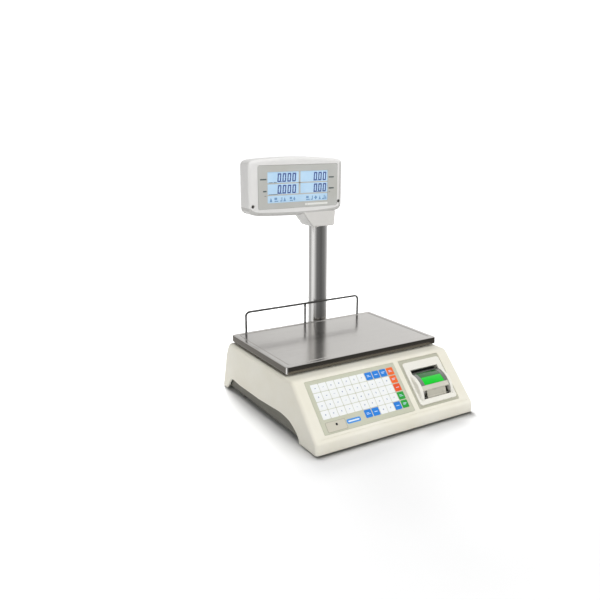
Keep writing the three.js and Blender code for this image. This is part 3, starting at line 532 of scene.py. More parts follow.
# ------------------------------------------------------------------ casing
case_profile = ccw([
    (-233, -12), (-233, 2), (-232.4, 12), (-231, 20.2), (-227.4, 24.2), (-222, 29.6), (-185, 68.3), (-151, 103.8),
    (-147.5, 107), (-144, 109), (-139.5, 110), (117, 110), (124, 108.8), (129.5, 105), (134, 99.5), (139, 90.5),
    (144, 79), (165, -2), (167.6, -12)])
in_profile = ccw([
    (-229.5, -14), (-229.5, 2), (-229, 11), (-227.7, 18.4), (-224.9, 21.8), (-219.5, 27.2), (-182.5, 65.9), (-149, 100.9),
    (-145.5, 104), (-142.5, 105.8), (-139, 106.5), (116.5, 106.5), (122.5, 105.4), (127, 102.4), (131, 97.6), (135.7, 89.2),
    (140.6, 78), (161.6, -3), (164.5, -14)])
arch = ccw([
    (-172, -14), (-172, 6), (-166, 13), (-155, 21), (-146, 26), (-137, 30), (-118, 33), (-99, 34), (-58, 31), (-15, 28), (30, 27.4),
    (78, 26.5), (98, 28), (111, 29), (119, 25.5), (126, 18.5), (134, 9), (140.5, 1.5), (143, -14)])


def slab(x0, x1, y0, y1, z0, z1):
    return loft([lift("z", [(x0, y0), (x1, y0), (x1, y1), (x0, y1)], z0), lift("z", [(x0, y0), (x1, y0), (x1, y1), (x0, y1)], z1)])


casing = make("casing_shell", [prism("x", case_profile, -190, 190, b=7, seg=8, rnd=6, rseg=4)], ROOT, [M["ivory"]])
inner = make("inner", [prism("x", in_profile, -186.5, 186.5, b=4, seg=3, rnd=5, rseg=2)], ROOT, [M["ivory"]])
boolean(inner, [([slab(23, 83, 119, 200, -20, 140)], ROOT)])
md = casing.modifiers.new("b", "BOOLEAN")
md.object, md.operation, md.solver = inner, "DIFFERENCE", "EXACT"
dg = bpy.context.evaluated_depsgraph_get()
dg.update()
me = bpy.data.meshes.new_from_object(casing.evaluated_get(dg))
casing.modifiers.clear()
casing.data = me
bpy.data.objects.remove(inner)
arch_ring = lambda d: soften(offset(arch, -d), 7, 3)
boolean(casing, [
    ([slab(-300, 300, -300, 300, -40, 0)], ROOT),
    ([flare("x", arch_ring, -183, -190, 1.6, -200)], ROOT),
    ([flare("x", arch_ring, 183, 190, 1.6, 200)], ROOT),
    ([slab(26, 80, 122, 200, -20, 130)], ROOT),
    ([slab(22, 84, 112, 156, -5, 8.5)], ROOT),
    ([slab(27.4, 78.6, 112, 124, -5, 12.7)], ROOT),
    ([slab(46, 60, 112, 124, 10, 34)], ROOT),
    ([flare("z", round_ring(31, 69, -19, 19, 3), 100, 110, 0.8, 120)], ROOT),
    ([flare("z", round_ring(-131.4, -108.6, 76.6, 99.4, 11.4, 10), 100, 110, 0.6, 120)], ROOT),
    ([flare("z", round_ring(-165, 44.5, 0, 106, 2.2), -1.8, 0, 0.7, 20)], SLOPE),
    ([flare("z", round_ring(56.3, 161.5, 0, 106, 2.2), -1.8, 0, 0.7, 20)], SLOPE),
    ([slab(71, 148, 11.5, 94, -12, 20)], SLOPE),
    ([slab(-60, 0, 40, 60, -12, 0)], SLOPE),
    ([flare("z", round_ring(-152, -62, -20, 16, 2.5), -12, 0.0, 0.6, 20)], REAR),
    ([flare("z", round_ring(-177, 177, -7.4, -5.6, 0.6), -0.7, 0.0, 0.3, 4)], SLOPE),
])
clean(casing)
weigh(casing)
put(casing, "base", "top_casing")

# ------------------------------------------------------------------ platter
PX, PY = 185.0, 120.0


def pan_ring(o, z, seg=8):
    return lift("z", rrect(-PX + o, PX - o, -PY + o, PY - o, max(6.0 - o, 1.6) if o < 6 else 4.0, seg), z)


section = [(15.2, 128.5), (13.6, 128.5), (13.2, 128.42), (12.8, 128.18), (12.4, 128.02), (12.0, 128.02), (11.6, 128.16), (11.0, 128.5), (10.4, 128.84), (10.0, 128.96), (9.5, 129.0)]
section += [(6.0, 129.0), (2.4, 129.0)]
for i in range(1, 9):
    a = math.pi / 2 * i / 8
    section.append((2.4 - 2.4 * math.sin(a), 129.0 - 2.4 * (1 - math.cos(a))))
section += [(0.0, 121.0), (0.0, 115.7), (0.12, 115.3), (0.45, 115.05), (0.8, 115.0), (1.15, 115.05), (1.45, 115.3), (1.5, 115.8), (1.5, 126.2), (2.2, 127.2), (3.2, 127.4), (15.2, 126.95)]
platter = make("platter_pan", [loft([pan_ring(o, z) for o, z in section])], ROOT, [M["platter"], M["platter_edge_painted_shade"], M["platter_corner_painted_highlight"]], smooth=50)
for f in platter.data.polygons:
    # side faces of the pan take the darker copy of the steel, a painted shade
    if abs(f.normal.z) < 0.6:
        # faces on the four rounded corners take the brighter copy of the steel instead, a painted highlight
        f.material_index = 2 if min(abs(f.normal.x), abs(f.normal.y)) > 0.45 else 1
weigh(platter)
put(platter, "platter_group", "platter")

# ------------------------------------------------------------------ goods rail
top, R, RY = 172.6, 9.0, 122.8
RX0, RXM, RX1 = -148.5, 3.0, 151.2
pts = [(RX0, RY, 116.0), (RX0, RY, 140)]
for i in range(15):
    a = math.radians(180 - 90 * i / 14)
    pts.append((RX0 + R + R * math.cos(a), RY, top - R + R * math.sin(a)))
pts += [(-75, RY, top), (RXM, RY, top), (75, RY, top)]
for i in range(15):
    a = math.radians(90 - 90 * i / 14)
    pts.append((RX1 - R + R * math.cos(a), RY, top - R + R * math.sin(a)))
pts += [(RX1, RY, 140), (RX1, RY, 116.0)]
rail_geo = [tube(pts, 2.4, 28), tube([(RXM, RY, 116.0), (RXM, RY, 140), (RXM, RY, top - 0.4)], 2.4, 28)]
for x in (RX0, RXM, RX1):      # welded feet and the fillet under the middle of the top bar
    rail_geo.append(lathe([(0, 115.2), (1.7, 115.2), (2.3, 115.6), (2.42, 116.2), (2.42, 116.4), (0, 116.6)], x, RY, 28))
    for z in (118.5, 124.5):
        rail_geo.append(lathe([(0, -3.0), (0.9, -2.8), (1.25, -1.5), (1.3, 0.0), (1.25, 1.5), (0.9, 2.8), (0, 3.0)], 0, 0, 16))
        v, f, m = rail_geo[-1]
        rail_geo[-1] = (v + np.array([x, 120.9, z]), f, m)
rail_geo.append(lathe([(0, 167.5), (2.41, 167.6), (2.6, 168.9), (3.0, 170.0), (3.0, 170.5), (0, 170.7)], RXM, RY, 28))
rail = make("goods_rail", rail_geo, ROOT, [M["rail"]], smooth=60)
put(rail, "platter_group", "wire_rail")

# ------------------------------------------------------------------ column
CX, CY = 53.0, 148.0
col = make("column", [lathe([(22.35, 12.6), (22.35, 371.2), (22.1, 371.6), (21.6, 371.7), (21.1, 371.6), (20.85, 371.2), (20.85, 12.6)], CX, CY, 128)], ROOT, [M["pole"]], smooth=40)
boolean(col, [([slab(CX - 5.5, CX + 5.5, 110, CY, 0, 33)], ROOT)])
clean(col, 40)
put(col, "base", "column_tube")

socket = make("column_foot", [prism("z", rrect(26.8, 79.2, 122.4, 174.4, 8, 8), 8.3, 78, b=2.2, seg=5, ends=(False, True))], ROOT, [M["head"]])
boolean(socket, [
    ([lathe([(0, 12.3), (22.65, 12.3), (22.65, 76.8), (23.1, 77.6), (23.8, 78.05), (23.8, 90), (0, 90)], CX, CY, 96)], ROOT),
    ([slab(CX - 6, CX + 6, 110, CY, 12.3, 34)], ROOT),
    ([lathe([(0, 160), (2.9, 160), (2.9, 200), (0, 200)], CX, 52, 24, "y")], ROOT),
])
v_tab = prism("z", rrect(28, 78, 96, 126, 3, 4), 8.3, 12.3, b=0.5, seg=2)
tab = make("column_foot_tab", [v_tab], ROOT, [M["head"]])
boolean(tab, [([lathe([(0, 0), (3, 0), (3, 30), (0, 30)], 40, 104, 24)], ROOT), ([lathe([(0, 0), (3, 0), (3, 30), (0, 30)], 66, 104, 24)], ROOT),
              ([slab(CX - 6, CX + 6, 110, CY, 5, 34)], ROOT), ([lathe([(0, 5), (22.65, 5), (22.65, 60), (0, 60)], CX, CY, 96)], ROOT)])
clean(tab)
clean(socket)
weigh(socket)
put(socket, "base", "column_socket")
put(tab, "base", "column_socket")

# ------------------------------------------------------------------ display head
HY0, HY1 = 126.0, 170.5
head_pts = ccw([
    (-133.5, 396), (-132.6, 391), (-130.4, 387), (-126.6, 383.6), (-121, 381.3), (-107, 379), (-58, 376.9), (-20, 376), (30, 376.6), (66, 378.4), (88, 381), (95, 383.4),
    (99.6, 387), (101.8, 391), (102.5, 396),
    (102.5, 485), (101.6, 489.4), (99.2, 492.8), (95, 495), (84, 497), (60, 499.4), (26, 501.6), (-10, 502.4), (-46, 502), (-84, 500.4), (-118, 497.8), (-126, 496),
    (-130.4, 493.2), (-132.7, 489.4), (-133.5, 485)])
in_head = ccw([
    (-130.8, 397), (-130, 392.4), (-127, 388), (-120, 384.4), (-107, 382), (-58, 379.8), (-20, 378.9), (30, 379.5), (66, 381.3), (86, 383.8), (94, 387),
    (98.6, 391.4), (99.8, 397),
    (99.8, 484), (98.4, 488.6), (94, 491.8), (84, 493.6), (60, 496), (26, 498.4), (-10, 499.4), (-46, 499), (-84, 497.4), (-116, 494.8), (-125, 492.4), (-129.6, 488.4), (-130.8, 484)])
neck_pts = ccw([(25.5, 347.5), (80.5, 347.5), (82.5, 350), (84.5, 380), (85, 392), (-10.5, 392), (2.5, 374.3), (21.5, 350.4)])
head = make("head_all", [prism("y", head_pts, HY0, HY1, b=5, bw=8, seg=8, rnd=9, rseg=4)], ROOT, [M["head"]])
neck = make("neck", [prism("y", neck_pts, 123.5, 172.5, b=2.6, seg=5, rnd=3.5, rseg=4)], ROOT, [M["head"]])
boolean(neck, [([slab(-60, 120, 100, HY0 + 3, 381, 420)], ROOT), ([slab(-60, 120, HY1 - 3, 200, 381, 420)], ROOT)])
md = head.modifiers.new("b", "BOOLEAN")
md.object, md.operation, md.solver = neck, "UNION", "EXACT"
dg = bpy.context.evaluated_depsgraph_get()
dg.update()
me = bpy.data.meshes.new_from_object(head.evaluated_get(dg))
head.modifiers.clear()
head.data = me
bpy.data.objects.remove(neck)
PAN = (-112.0, 90.0, 393.0, 486.0)
LCD = (-89.0, 64.0, 406.0, 472.0)
tools = [
    ([prism("y", in_head, HY0 + 2.6, HY1 - 2.6, rnd=6, rseg=3)], ROOT),
    ([lathe([(0, 340), (23.4, 340), (23.4, 347.4), (22.7, 348.2), (22.7, 376.4), (0, 376.4)], CX, CY, 96)], ROOT),
    ([lathe([(0, 370), (16.4, 370), (16.4, 390), (0, 390)], CX, CY, 64)], ROOT),
    ([lathe([(0, 380.2), (19.3, 380.2), (19.3, 392.2), (0, 392.2)], CX, CY, 64)], ROOT),
]
for face, away, win in ((HY0, -1, 6), (HY1, 1, -6)):
    tools.append(([flare("y", round_ring(PAN[0], PAN[1], PAN[2], PAN[3], 4), face - away * 1.2, face, 0.7, face + away * 8)], ROOT))
    y0, y1 = sorted((face + away, face + win))
    tools.append(([slab(LCD[0] - 2, LCD[1] + 2, y0, y1, LCD[2] - 2, LCD[3] + 2)], ROOT))
SCREWS = ((-124.5, 400.5), (94.0, 402.0))
boolean(head, tools)
posts = []
for x, z in SCREWS:
    post = lathe([(0, HY0 + 2.2), (4.6, HY0 + 2.2), (4.6, HY1 - 2.3), (0, HY1 - 2.3)], x, z, 24, "y")
    boolean(head, [([post], ROOT)], "UNION")
boolean(head, [([lathe([(0, HY0 - 5), (3.9, HY0 - 5), (3.9, HY0 + 0.25), (3.5, HY0 + 0.7), (3.5, HY0 + 2.4), (0, HY0 + 2.4)], x, z, 32, "y")], ROOT) for x, z in SCREWS])
mid = (HY0 + HY1) / 2
for name, node, keep in (("head_front", "head_front_shell", (mid - 0.15, 300)), ("head_rear", "head_rear_shell", (0, mid + 0.15))):
    ob = bpy.data.objects.new(name, head.data.copy())
    bpy.context.scene.collection.objects.link(ob)
    boolean(ob, [([slab(-300, 300, keep[0], keep[1], 300, 600)], ROOT)])
    clean(ob, 40)
    weigh(ob)
    low = len(ob.data.materials)
    for m in ("head_painted_shade", "head_neck_painted_shade"):
        ob.data.materials.append(M[m])
    # Down-facing faces, and faces turned towards +x more than upwards, take the darker copy of the head plastic:
    # painted shade.
    for f in ob.data.polygons:
        down = f.normal.z < -0.04
        # faces of the neck below z 374 mm take the darker neck copy, and those facing down and towards -x the darkest
        # copy: painted shade
        if f.center.z * 1000 < 374.0:
            f.material_index = low if down and f.normal.x < -0.2 else low + 1
        elif down or f.normal.x > max(0.04, f.normal.z):
            f.material_index = low
    put(ob, "display_head", node)
bpy.data.objects.remove(head)


def drive_screw(name, node, x, z, y0, r=3.1, body="display_head"):
    """Pan-head case screw with a cross recess, its head facing -Y."""
    g = [lathe([(0, y0 + 0.05), (r * 0.55, y0), (r * 0.85, y0 + 0.22), (r, y0 + 0.75), (r, y0 + 1.5), (r * 0.9, y0 + 1.7), (1.5, y0 + 1.75), (1.5, y0 + 30), (0.9, y0 + 31), (0, y0 + 31.2)], x, z, 32, "y")]
    ob = make(name, g, ROOT, [M["screw"]])
    a = math.radians(35)
    for k in (0, 1):
        c, s = math.cos(a + k * math.pi / 2), math.sin(a + k * math.pi / 2)
        w, l = 0.42, r * 0.62
        p = [(x + c * u - s * t, z + s * u + c * t) for u, t in ((-l, -w), (l, -w), (l, w), (-l, w))]
        q = [(x + (c * u - s * t) * 0.45, z + (s * u + c * t) * 0.45) for u, t in ((-l, -w), (l, -w), (l, w), (-l, w))]
        boolean(ob, [([loft([lift("y", p, y0 - 0.5), lift("y", p, y0 + 0.2), lift("y", q, y0 + 1.2)])], ROOT)])
    clean(ob)
    put(ob, body, node)


drive_screw("head_screw_1", "head_screw_left", -124.5, 400.5, HY0 + 0.4)
drive_screw("head_screw_2", "head_screw_right", 94.0, 402.0, HY0 + 0.4)

# seven-segment figures: each segment is a thin bevelled bar
SEG = {"a": ((0.1, 1.0), (0.9, 1.0)), "b": ((0.95, 0.95), (0.95, 0.55)), "c": ((0.95, 0.45), (0.95, 0.05)), "d": ((0.1, 0.0), (0.9, 0.0)),
       "e": ((0.05, 0.45), (0.05, 0.05)), "f": ((0.05, 0.95), (0.05, 0.55)), "g": ((0.15, 0.5), (0.85, 0.5))}


def segment(x, z, w, h, key, th, slant, face, t):
    """One bar of a seven-segment figure, mitred at the corners with a hairline gap to its neighbours."""
    g, zm = 0.16, z + h / 2
    p = {
        "a": [(x + g, z + h), (x + w - g, z + h), (x + w - th - g, z + h - th), (x + th + g, z + h - th)],
        "d": [(x + g, z), (x + th + g, z + th), (x + w - th - g, z + th), (x + w - g, z)],
        "f": [(x, z + h - g), (x, zm + g), (x + th, zm + g), (x + th, z + h - th - g)],
        "e": [(x, z + g), (x + th, z + th + g), (x + th, zm - g), (x, zm - g)],
        "b": [(x + w, z + h - g), (x + w - th, z + h - th - g), (x + w - th, zm + g), (x + w, zm + g)],
        "c": [(x + w, z + g), (x + w, zm - g), (x + w - th, zm - g), (x + w - th, z + th + g)],
    }[key]
    return [(u + slant * (v - z), v) for u, v in p]


def figures(face, away, mirror):
    """The display contents for one side: figures and the bottom strip of symbols."""
    mx = (lambda x: x) if not mirror else (lambda x: -25.0 - x)     # the fascia is centred on x = -11, the LCD on -12.5
    digits, icons, frames = [], [], []
    y_d0, y_d1 = sorted((face - away * 1.24, face - away * 1.12))

    def poly(p, y0, y1, mat=0, b=0.0):
        q = [(mx(a), b_) for a, b_ in p]
        return prism("y", q, y0, y1, b=b, mat=mat)

    for z, cols in ((450.2, (("L", 4), ("R", 3))), (425.2, (("L", 4), ("R", 3)))):
        for side, n in cols:
            w, h, pitch = (8.9, 18.4, 12.3) if side == "L" else (8.7, 18.4, 11.9)
            right = -18.8 if side == "L" else 59.6
            for k in range(n):
                x = right - w - (n - 1 - k) * pitch
                for s in "abcdef":
                    digits.append(poly(segment(x, z, w, h, s, 2.7, 0.07, face, 0), y_d0, y_d1))
                if (side == "L" and k == 0) or (side == "R" and k == 0):
                    cx = x + w + (pitch - w) / 2 - 0.2
                    digits.append(poly([(cx - 0.8, z - 0.2), (cx + 0.8, z - 0.2), (cx + 0.8, z + 1.5), (cx - 0.8, z + 1.5)], y_d0, y_d1))
    # bottom strip of small symbols
    for x, w, kind in ((-84, 5, 0), (-72, 7, 1), (-58, 4, 2), (-50, 5, 0), (-34, 6, 1), (-25, 4, 3), (8, 7, 1), (20, 4, 2), (29, 6, 3), (41, 4, 0), (50, 5, 2), (58, 3, 0)):
        z, w = 408.4, w * 1.35
        if kind == 0:
            icons.append(poly([(x, z), (x + w, z), (x + w / 2, z + 9)], y_d0, y_d1))
        elif kind == 1:
            icons.append(poly([(x, z), (x + w, z), (x + w, z + 2.2), (x, z + 2.2)], y_d0, y_d1))
            icons.append(poly([(x, z + 4.0), (x + w * 0.7, z + 4.0), (x + w * 0.7, z + 8.8), (x, z + 8.8)], y_d0, y_d1))
        elif kind == 2:
            icons.append(poly([(x, z), (x + w, z), (x + w, z + 9), (x + w - 2.0, z + 9), (x + w - 2.0, z + 2.2), (x, z + 2.2)], y_d0, y_d1))
        else:
            icons.append(poly([(x, z + 4.5), (x + w / 2, z), (x + w, z + 4.5), (x + w / 2, z + 9)], y_d0, y_d1))
    return digits, icons, mx


for side, face, away, fas, lcdn in (("front", HY0, -1, "operator_fascia", "operator_lcd"), ("rear", HY1, 1, "customer_fascia", "customer_lcd")):
    body = "display_head"
    mirror = side == "rear"
    y_out, y_in = face - away * 0.1, face - away * 0.9
    lo, hi = sorted((y_out, y_in))
    plate = make(f"fascia_{side}", [rbox(PAN[0] + 0.3, PAN[1] - 0.3, lo, hi, PAN[2] + 0.3, PAN[3] - 0.3, 3.7, 0.15, "y", 8, 2)], ROOT, [M["fascia"]])
    boolean(plate, [([flare("y", round_ring(LCD[0], LCD[1], LCD[2], LCD[3], 0.8, 4), face - away * 3, y_out, 0.25, face + away * 3, 3)], ROOT)])
    clean(plate)
    weigh(plate)
    put(plate, body, fas)
    g0, g1 = sorted((face - away * 1.25, face - away * 5.6))
    glass = make(f"lcd_{side}", [rbox(LCD[0] - 1.6, LCD[1] + 1.6, g0, g1, LCD[2] - 1.6, LCD[3] + 1.6, 0.8, 0.2, "y", 4, 2)], ROOT, [M["lcd"]])
    put(glass, body, lcdn)
    digits, icons, mx = figures(face, away, mirror)
    put(make(f"figures_{side}", digits, ROOT, [M["digit"]], wn=False), body, ())
    put(make(f"symbols_{side}", icons, ROOT, [M["icon"]], wn=False), body, ())
    # printed frame between the display fields, level with the fascia
    f0, f1 = sorted((face - away * 0.95, face - away * 1.12))
    fr = []
    for x0, x1, z0, z1 in ((-11.2, -6.6, 423.6, 472.0), (-89, -9, 446.1, 448.5), (-9, 64, 446.1, 448.5), (-89, 64, 421.5, 424.1)):
        a, b = sorted((mx(x0), mx(x1)))
        fr.append(rbox(a, b, f0, f1, z0, z1, 0.2, 0.05, "y", 2, 1))
    put(make(f"field_frame_{side}", fr, ROOT, [M["fascia"]], wn=False), body, ())
    bars = []
    t0, t1 = sorted((y_out, y_out + away * 0.06))
    for x0, x1, z0, z1, mi in ((-107, -91.5, 455.2, 458.2, 0), (-100, -91.5, 430.0, 433.0, 0), (-97, -92, 420.4, 422.4, 1), (66.5, 80.5, 455.4, 458.2, 0),
                               (66.5, 80.5, 430.8, 433.8, 0), (66.5, 71, 423.0, 425.0, 1), (-86, -76, 448.9, 450.0, 0), (-74, -66, 448.9, 450.0, 0), (-86, -64, 423.6, 424.6, 0),
                               (10.5, 64, 397.4, 401.8, 2), (5.0, 9.4, 397.4, 401.8, 2)):
        a, b = sorted((mx(x0), mx(x1)))
        if 448 < z0 < 450 or 423.5 < z0 < 424:
            q0, q1 = sorted((face - away * 0.9, face - away * 0.95))
        else:
            q0, q1 = t0, t1
        bars.append(rbox(a, b, q0, q1, z0, z1, 0.6, 0.02, "y", 3, 1, mat=mi))
    put(make(f"fascia_print_{side}", bars, ROOT, [M["bar_dark"], M["bar_faint"], M["bar_white"]], wn=False), body, ())

# ------------------------------------------------------------------ keyboard
sheet_ob = make("overlay_sheet", [rbox(-164.7, 44.2, 0.3, 105.7, -1.5, -0.3, 1.6, 0.18, "z", 6, 2)], SLOPE, [M["overlay"]])
boolean(sheet_ob, [([lathe([(0, -5), (2.9, -5), (2.9, 5), (0, 5)], -132.8, 15.2, 32)], SLOPE)])
clean(sheet_ob)
weigh(sheet_ob)
put(sheet_ob, "base", "keyboard_overlay")
recess_ob = make("printer_recess_sheet", [rbox(56.6, 161.2, 0.3, 105.7, -1.79, -1.56, 1.6, 0.05, "z", 6, 1)], SLOPE, [M["recess"]])
boolean(recess_ob, [([rbox(66.0, 153.0, 10.0, 94.0, -5, 5, 4.0, 0.1, "z", 4, 1)], SLOPE)])
clean(recess_ob)
weigh(recess_ob)
put(recess_ob, "base", ())
key_mats = [M["key_white"], M["key_blue"], M["key_orange"], M["key_red"], M["key_green"]]
rows = [89.5, 71.8, 54.1, 36.4, 18.8]
layout = ["WWWWWWWBBBO", "WWWWWWWWWWO", "WWWWWWWWWWR", "WWWWWWWWWWG", ".....BBWWBG"]
keys, marks = [], []


def pad(cx, cy, half, r, z0, z1, inset, mat):
    rings = [(0, z0), (0, z1 - 0.22), (0.06, z1 - 0.12), (0.2, z1 - 0.04), (inset, z1), (inset + 1.2, z1 + 0.05), (inset + 3.2, z1 + 0.09)]
    return loft([lift("z", rrect(cx - half + d, cx + half - d, cy - half + d, cy + half - d, max(r - d, 0.3), 5), z) for d, z in rings], mat)


for ri, row in enumerate(layout):
    for ci, ch in enumerate(row):
        if ch == ".":
            continue
        cx, cy = -147.5 + 17.62 * ci, rows[ri]
        mi = "WBORG".index(ch)
        keys.append(pad(cx, cy, 8.3 if ch == "W" else 7.85, 1.3, -0.4, 0.05, 0.32, mi))
        li = 0 if ch == "W" else 1
        h = (ri * 7 + ci * 5) % 6
        z0, z1 = 0.11, 0.17
        if ch == "W":
            shapes = [((-1.5, -0.55, 1.5, 0.55),), ((-0.7, -1.5, 0.7, 1.5),), ((-1.6, 0.4, 1.6, 1.2), (-1.6, -1.2, 0.6, -0.4)), ((-1.1, -1.1, 1.1, 1.1),),
                      ((-0.45, -1.5, 0.45, 1.5), (-1.5, -0.45, 1.5, 0.45)), ((-1.7, -0.4, -0.5, 0.5), (0.5, -0.4, 1.7, 0.5))][h]
        else:
            shapes = [((-4.2, 1.0, 4.2, 2.2), (-4.2, -1.4, 2.0, -0.2)), ((-3.6, -0.7, 3.6, 0.7),), ((-4.2, 0.9, 1.8, 2.0), (-4.2, -1.6, 4.2, -0.5))][h % 3]
        for a, b, c, d in shapes:
            marks.append(rbox(cx + a, cx + c, cy + b, cy + d, z0, z1, 0.35, 0.02, "z", 3, 1, mat=li))
put(make("keys", keys, SLOPE, key_mats, smooth=55), "base", ())
put(make("key_marks", marks, SLOPE, [M["legend"], M["legend_pale"]], wn=False), "base", ())
tag = [rbox(-155.9, -112.6, 2.5, 22.2, -0.34, -0.24, 1.9, 0.03, "z", 5, 1, mat=3),
       rbox(-155, -113.5, 3.4, 21.5, -0.32, -0.18, 1.6, 0.05, "z", 5, 1, mat=0),
       rbox(-111, -79.5, 9.6, 18.4, -0.32, -0.16, 3.2, 0.05, "z", 8, 1, mat=1),
       rbox(-107.5, -83, 12.6, 15.2, -0.2, -0.12, 1.2, 0.02, "z", 4, 1, mat=2)]
put(make("overlay_labels", tag, SLOPE, [M["tag"], M["mark_blue"], M["mark_white"], M["tag_edge"]], wn=False), "base", ())
lamp = make("lamp", [lathe([(0, -1.5), (2.5, -1.5), (2.5, -0.2), (2.4, 0.0), (2.1, 0.22), (1.6, 0.4), (0.9, 0.48), (0, 0.5)], -132.8, 15.2, 32)], SLOPE, [glassy("lamp_dark", (30, 30, 34), 0.1)])
put(lamp, "base", "power_lamp")

# ------------------------------------------------------------------ receipt printer
DS, DH = 42.0, -32.0


def arc(r, s0, s1, n):
    a0, a1 = math.acos((s0 - DS) / r), math.acos((s1 - DS) / r)
    return [(DS + r * math.cos(a0 + (a1 - a0) * i / n), DH + r * math.sin(a0 + (a1 - a0) * i / n)) for i in range(n + 1)]


bezel = make("bezel", [prism("z", rrect(61.5, 157.5, 5.5, 98, 6, 8), -1.5, 2.6, b=1.1, seg=5, ends=(False, True))], SLOPE, [M["bezel"], M["black"]])
cheek = [(12.5, -10), (12.5, 0.0)] + arc(45.0, 15.5, 76, 36) + [(79.5, -6), (79.5, -10)]
for x0, x1 in ((66.5, 77.0), (142.0, 152.5)):
    boolean(bezel, [([prism("x", cheek, x0, x1, b=2.4, seg=6)], SLOPE)], "UNION")
boolean(bezel, [
    ([slab(50, 170, 0, 110, -30, -1.5)], SLOPE),
    ([flare("z", round_ring(74, 145, 16, 80.5, 0.8, 4), -12, 2.6, 0.5, 2.65, 4)], SLOPE),
    ([slab(74, 145, 16, 80.5, -12, 40)], SLOPE),
    ([lathe([(0, 69.5), (1.85, 69.5), (1.85, 149.5), (0, 149.5)], 19, 1.5, 24, "x")], SLOPE),
])
clean(bezel, 34)
weigh(bezel)
put(bezel, "base", "printer_bezel")

LR = 43.5
ring = ccw(arc(LR, 30.2, 76.2, 40) + arc(LR - 2.2, 30.2, 75.2, 40)[::-1])
lid = make("lid_shell", [prism("x", ring, 75, 144, b=0.5, seg=3)], SLOPE, [M["smoke"], M["lid_band"], M["tongue"]])
tongue = ccw(arc(LR - 1.1, 19.4, 32.5, 10) + arc(LR - 2.2, 21, 32.5, 10)[::-1])
boolean(lid, [([prism("x", tongue, 85, 134, b=0.3, seg=2)], SLOPE)], "UNION")
boolean(lid, [([lathe([(0, 85), (2.4, 85), (2.6, 85.2), (2.6, 133.8), (2.4, 134), (0, 134)], 19, 1.5, 32, "x")], SLOPE)], "UNION")
boolean(lid, [
    ([lathe([(0, 80), (1.85, 80), (1.85, 140), (0, 140)], 19, 1.5, 24, "x")], SLOPE),
    ([slab(84.7, 136.3, 40.7, 71.3, -40, 40)], SLOPE),
])
clean(lid, 34)
inv = SLOPE.inverted()
for p in lid.data.polygons:
    c = inv @ (Vector(p.center) * 1000)
    p.material_index = 0 if c.y > 41.0 else (1 if c.y > 31.6 else 2)
weigh(lid)
put(lid, "printer_lid_group", "printer_lid")
win = ccw(arc(LR - 0.15, 41, 71, 36) + arc(LR - 2.2, 41, 71, 36)[::-1])
window = make("window", [prism("x", win, 85, 136, b=0.35, seg=3)], SLOPE, [M["green"], M["green_dark"]])
# faces above 57.5 mm along the slope take the darker green copy, a painted shade; the rest take the glowing green, a
# painted light
for p in window.data.polygons:
    c = inv @ (Vector(p.center) * 1000)
    p.material_index = 1 if c.y > 57.5 else 0
put(window, "printer_lid_group", "lid_window")

roll_geo = [lathe([(6.7, 81.0), (22.2, 81.0), (22.5, 81.3), (22.5, 137.7), (22.2, 138.0), (6.7, 138.0)], 46, -15, 96, "x")]
roll = make("roll", roll_geo, SLOPE, [M["paper"]])
put(roll, "paper", "paper_roll")
platen = make("platen", [lathe([(0, 75.0), (2.0, 75.0), (2.0, 79.5), (5.6, 79.5), (6.0, 79.9), (6.0, 139.1), (5.6, 139.5), (2.0, 139.5), (2.0, 150.2), (1.7, 150.5), (0, 150.5)], 78, -15.5, 48, "x")], SLOPE, [M["rubber"]])
put(platen, "platen", "platen_roller")

# ------------------------------------------------------------------ feet
for n, x, y, body in (("front_left", -163, -190, "foot_fl"), ("front_right", 163, -190, "foot_fr"), ("rear_left", -163, 78, "foot_rl"), ("rear_right", 163, 78, "foot_rr")):
    prof = [(0, -2.6), (4.0, -2.6), (4.4, -3.0), (6.6, -3.0), (7.0, -2.5), (8.4, -2.5), (8.8, -3.0), (13.2, -3.0), (14.2, -2.75), (14.8, -2.2), (15, -1.4), (15, 0.6), (14.8, 1.4), (14.2, 2.2),
            (13.2, 2.9), (12.2, 3.3), (11, 3.4), (4, 3.4), (4, 19.4), (3.4, 20), (0, 20)]
    f = make(f"foot_{n}_pad", [lathe(prof, x, y, 64)], ROOT, [M["rubber"]])
    put(f, body, f"foot_{n}")

# ------------------------------------------------------------------ rear connectors
plate = make("connector_plate", [rbox(-157, -57, -25, 21, -5.6, -4, 2, 0.25, "z", 6, 2)], REAR, [M["plate"]])
boolean(plate, [([slab(-147, -119.4, -12.3, 8.3, -10, 5)], REAR), ([slab(-113.3, -99.7, -12.3, 8.3, -10, 5)], REAR), ([slab(-92.3, -66.7, -9.3, 5.3, -10, 5)], REAR)])
clean(plate)
put(plate, "base", "rear_panel")
inlet = make("inlet_body", [prism("z", rrect(-149.5, -116.9, -14.8, 10.8, 2.4, 6), -3.7, -1.6, b=0.7, seg=4, ends=(False, True)), ], REAR, [M["black"], M["screw"]])
boolean(inlet, [([rbox(-146.7, -119.7, -12, 8, -27, -3, 1.5, 0.3)], REAR)], "UNION")
boolean(inlet, [([flare("z", lambda d: soften(offset(ccw([(-144.7, -5.6), (-140.7, -9.6), (-125.7, -9.6), (-121.7, -5.6), (-121.7, 5.6), (-144.7, 5.6)]), -d), 1.2, 3), -20, -1.6, 0.6, 3, 4)], REAR)])
clean(inlet)
weigh(inlet)
put(inlet, "base", "mains_inlet")
blades = [rbox(x - 1, x + 1, -4 + d, 0 + d, -22, -6, 0.5, 0.4, "z", 3, 3) for x, d in ((-140.2, 1), (-133.2, -2), (-126.2, 1))]
put(make("inlet_blades", blades, REAR, [M["screw"]]), "base", "mains_inlet")
fr = make("switch_bezel", [prism("z", rrect(-115, -98, -14.8, 10.8, 1.8, 6), -3.7, -1.6, b=0.7, seg=4, ends=(False, True))], REAR, [M["black"]])
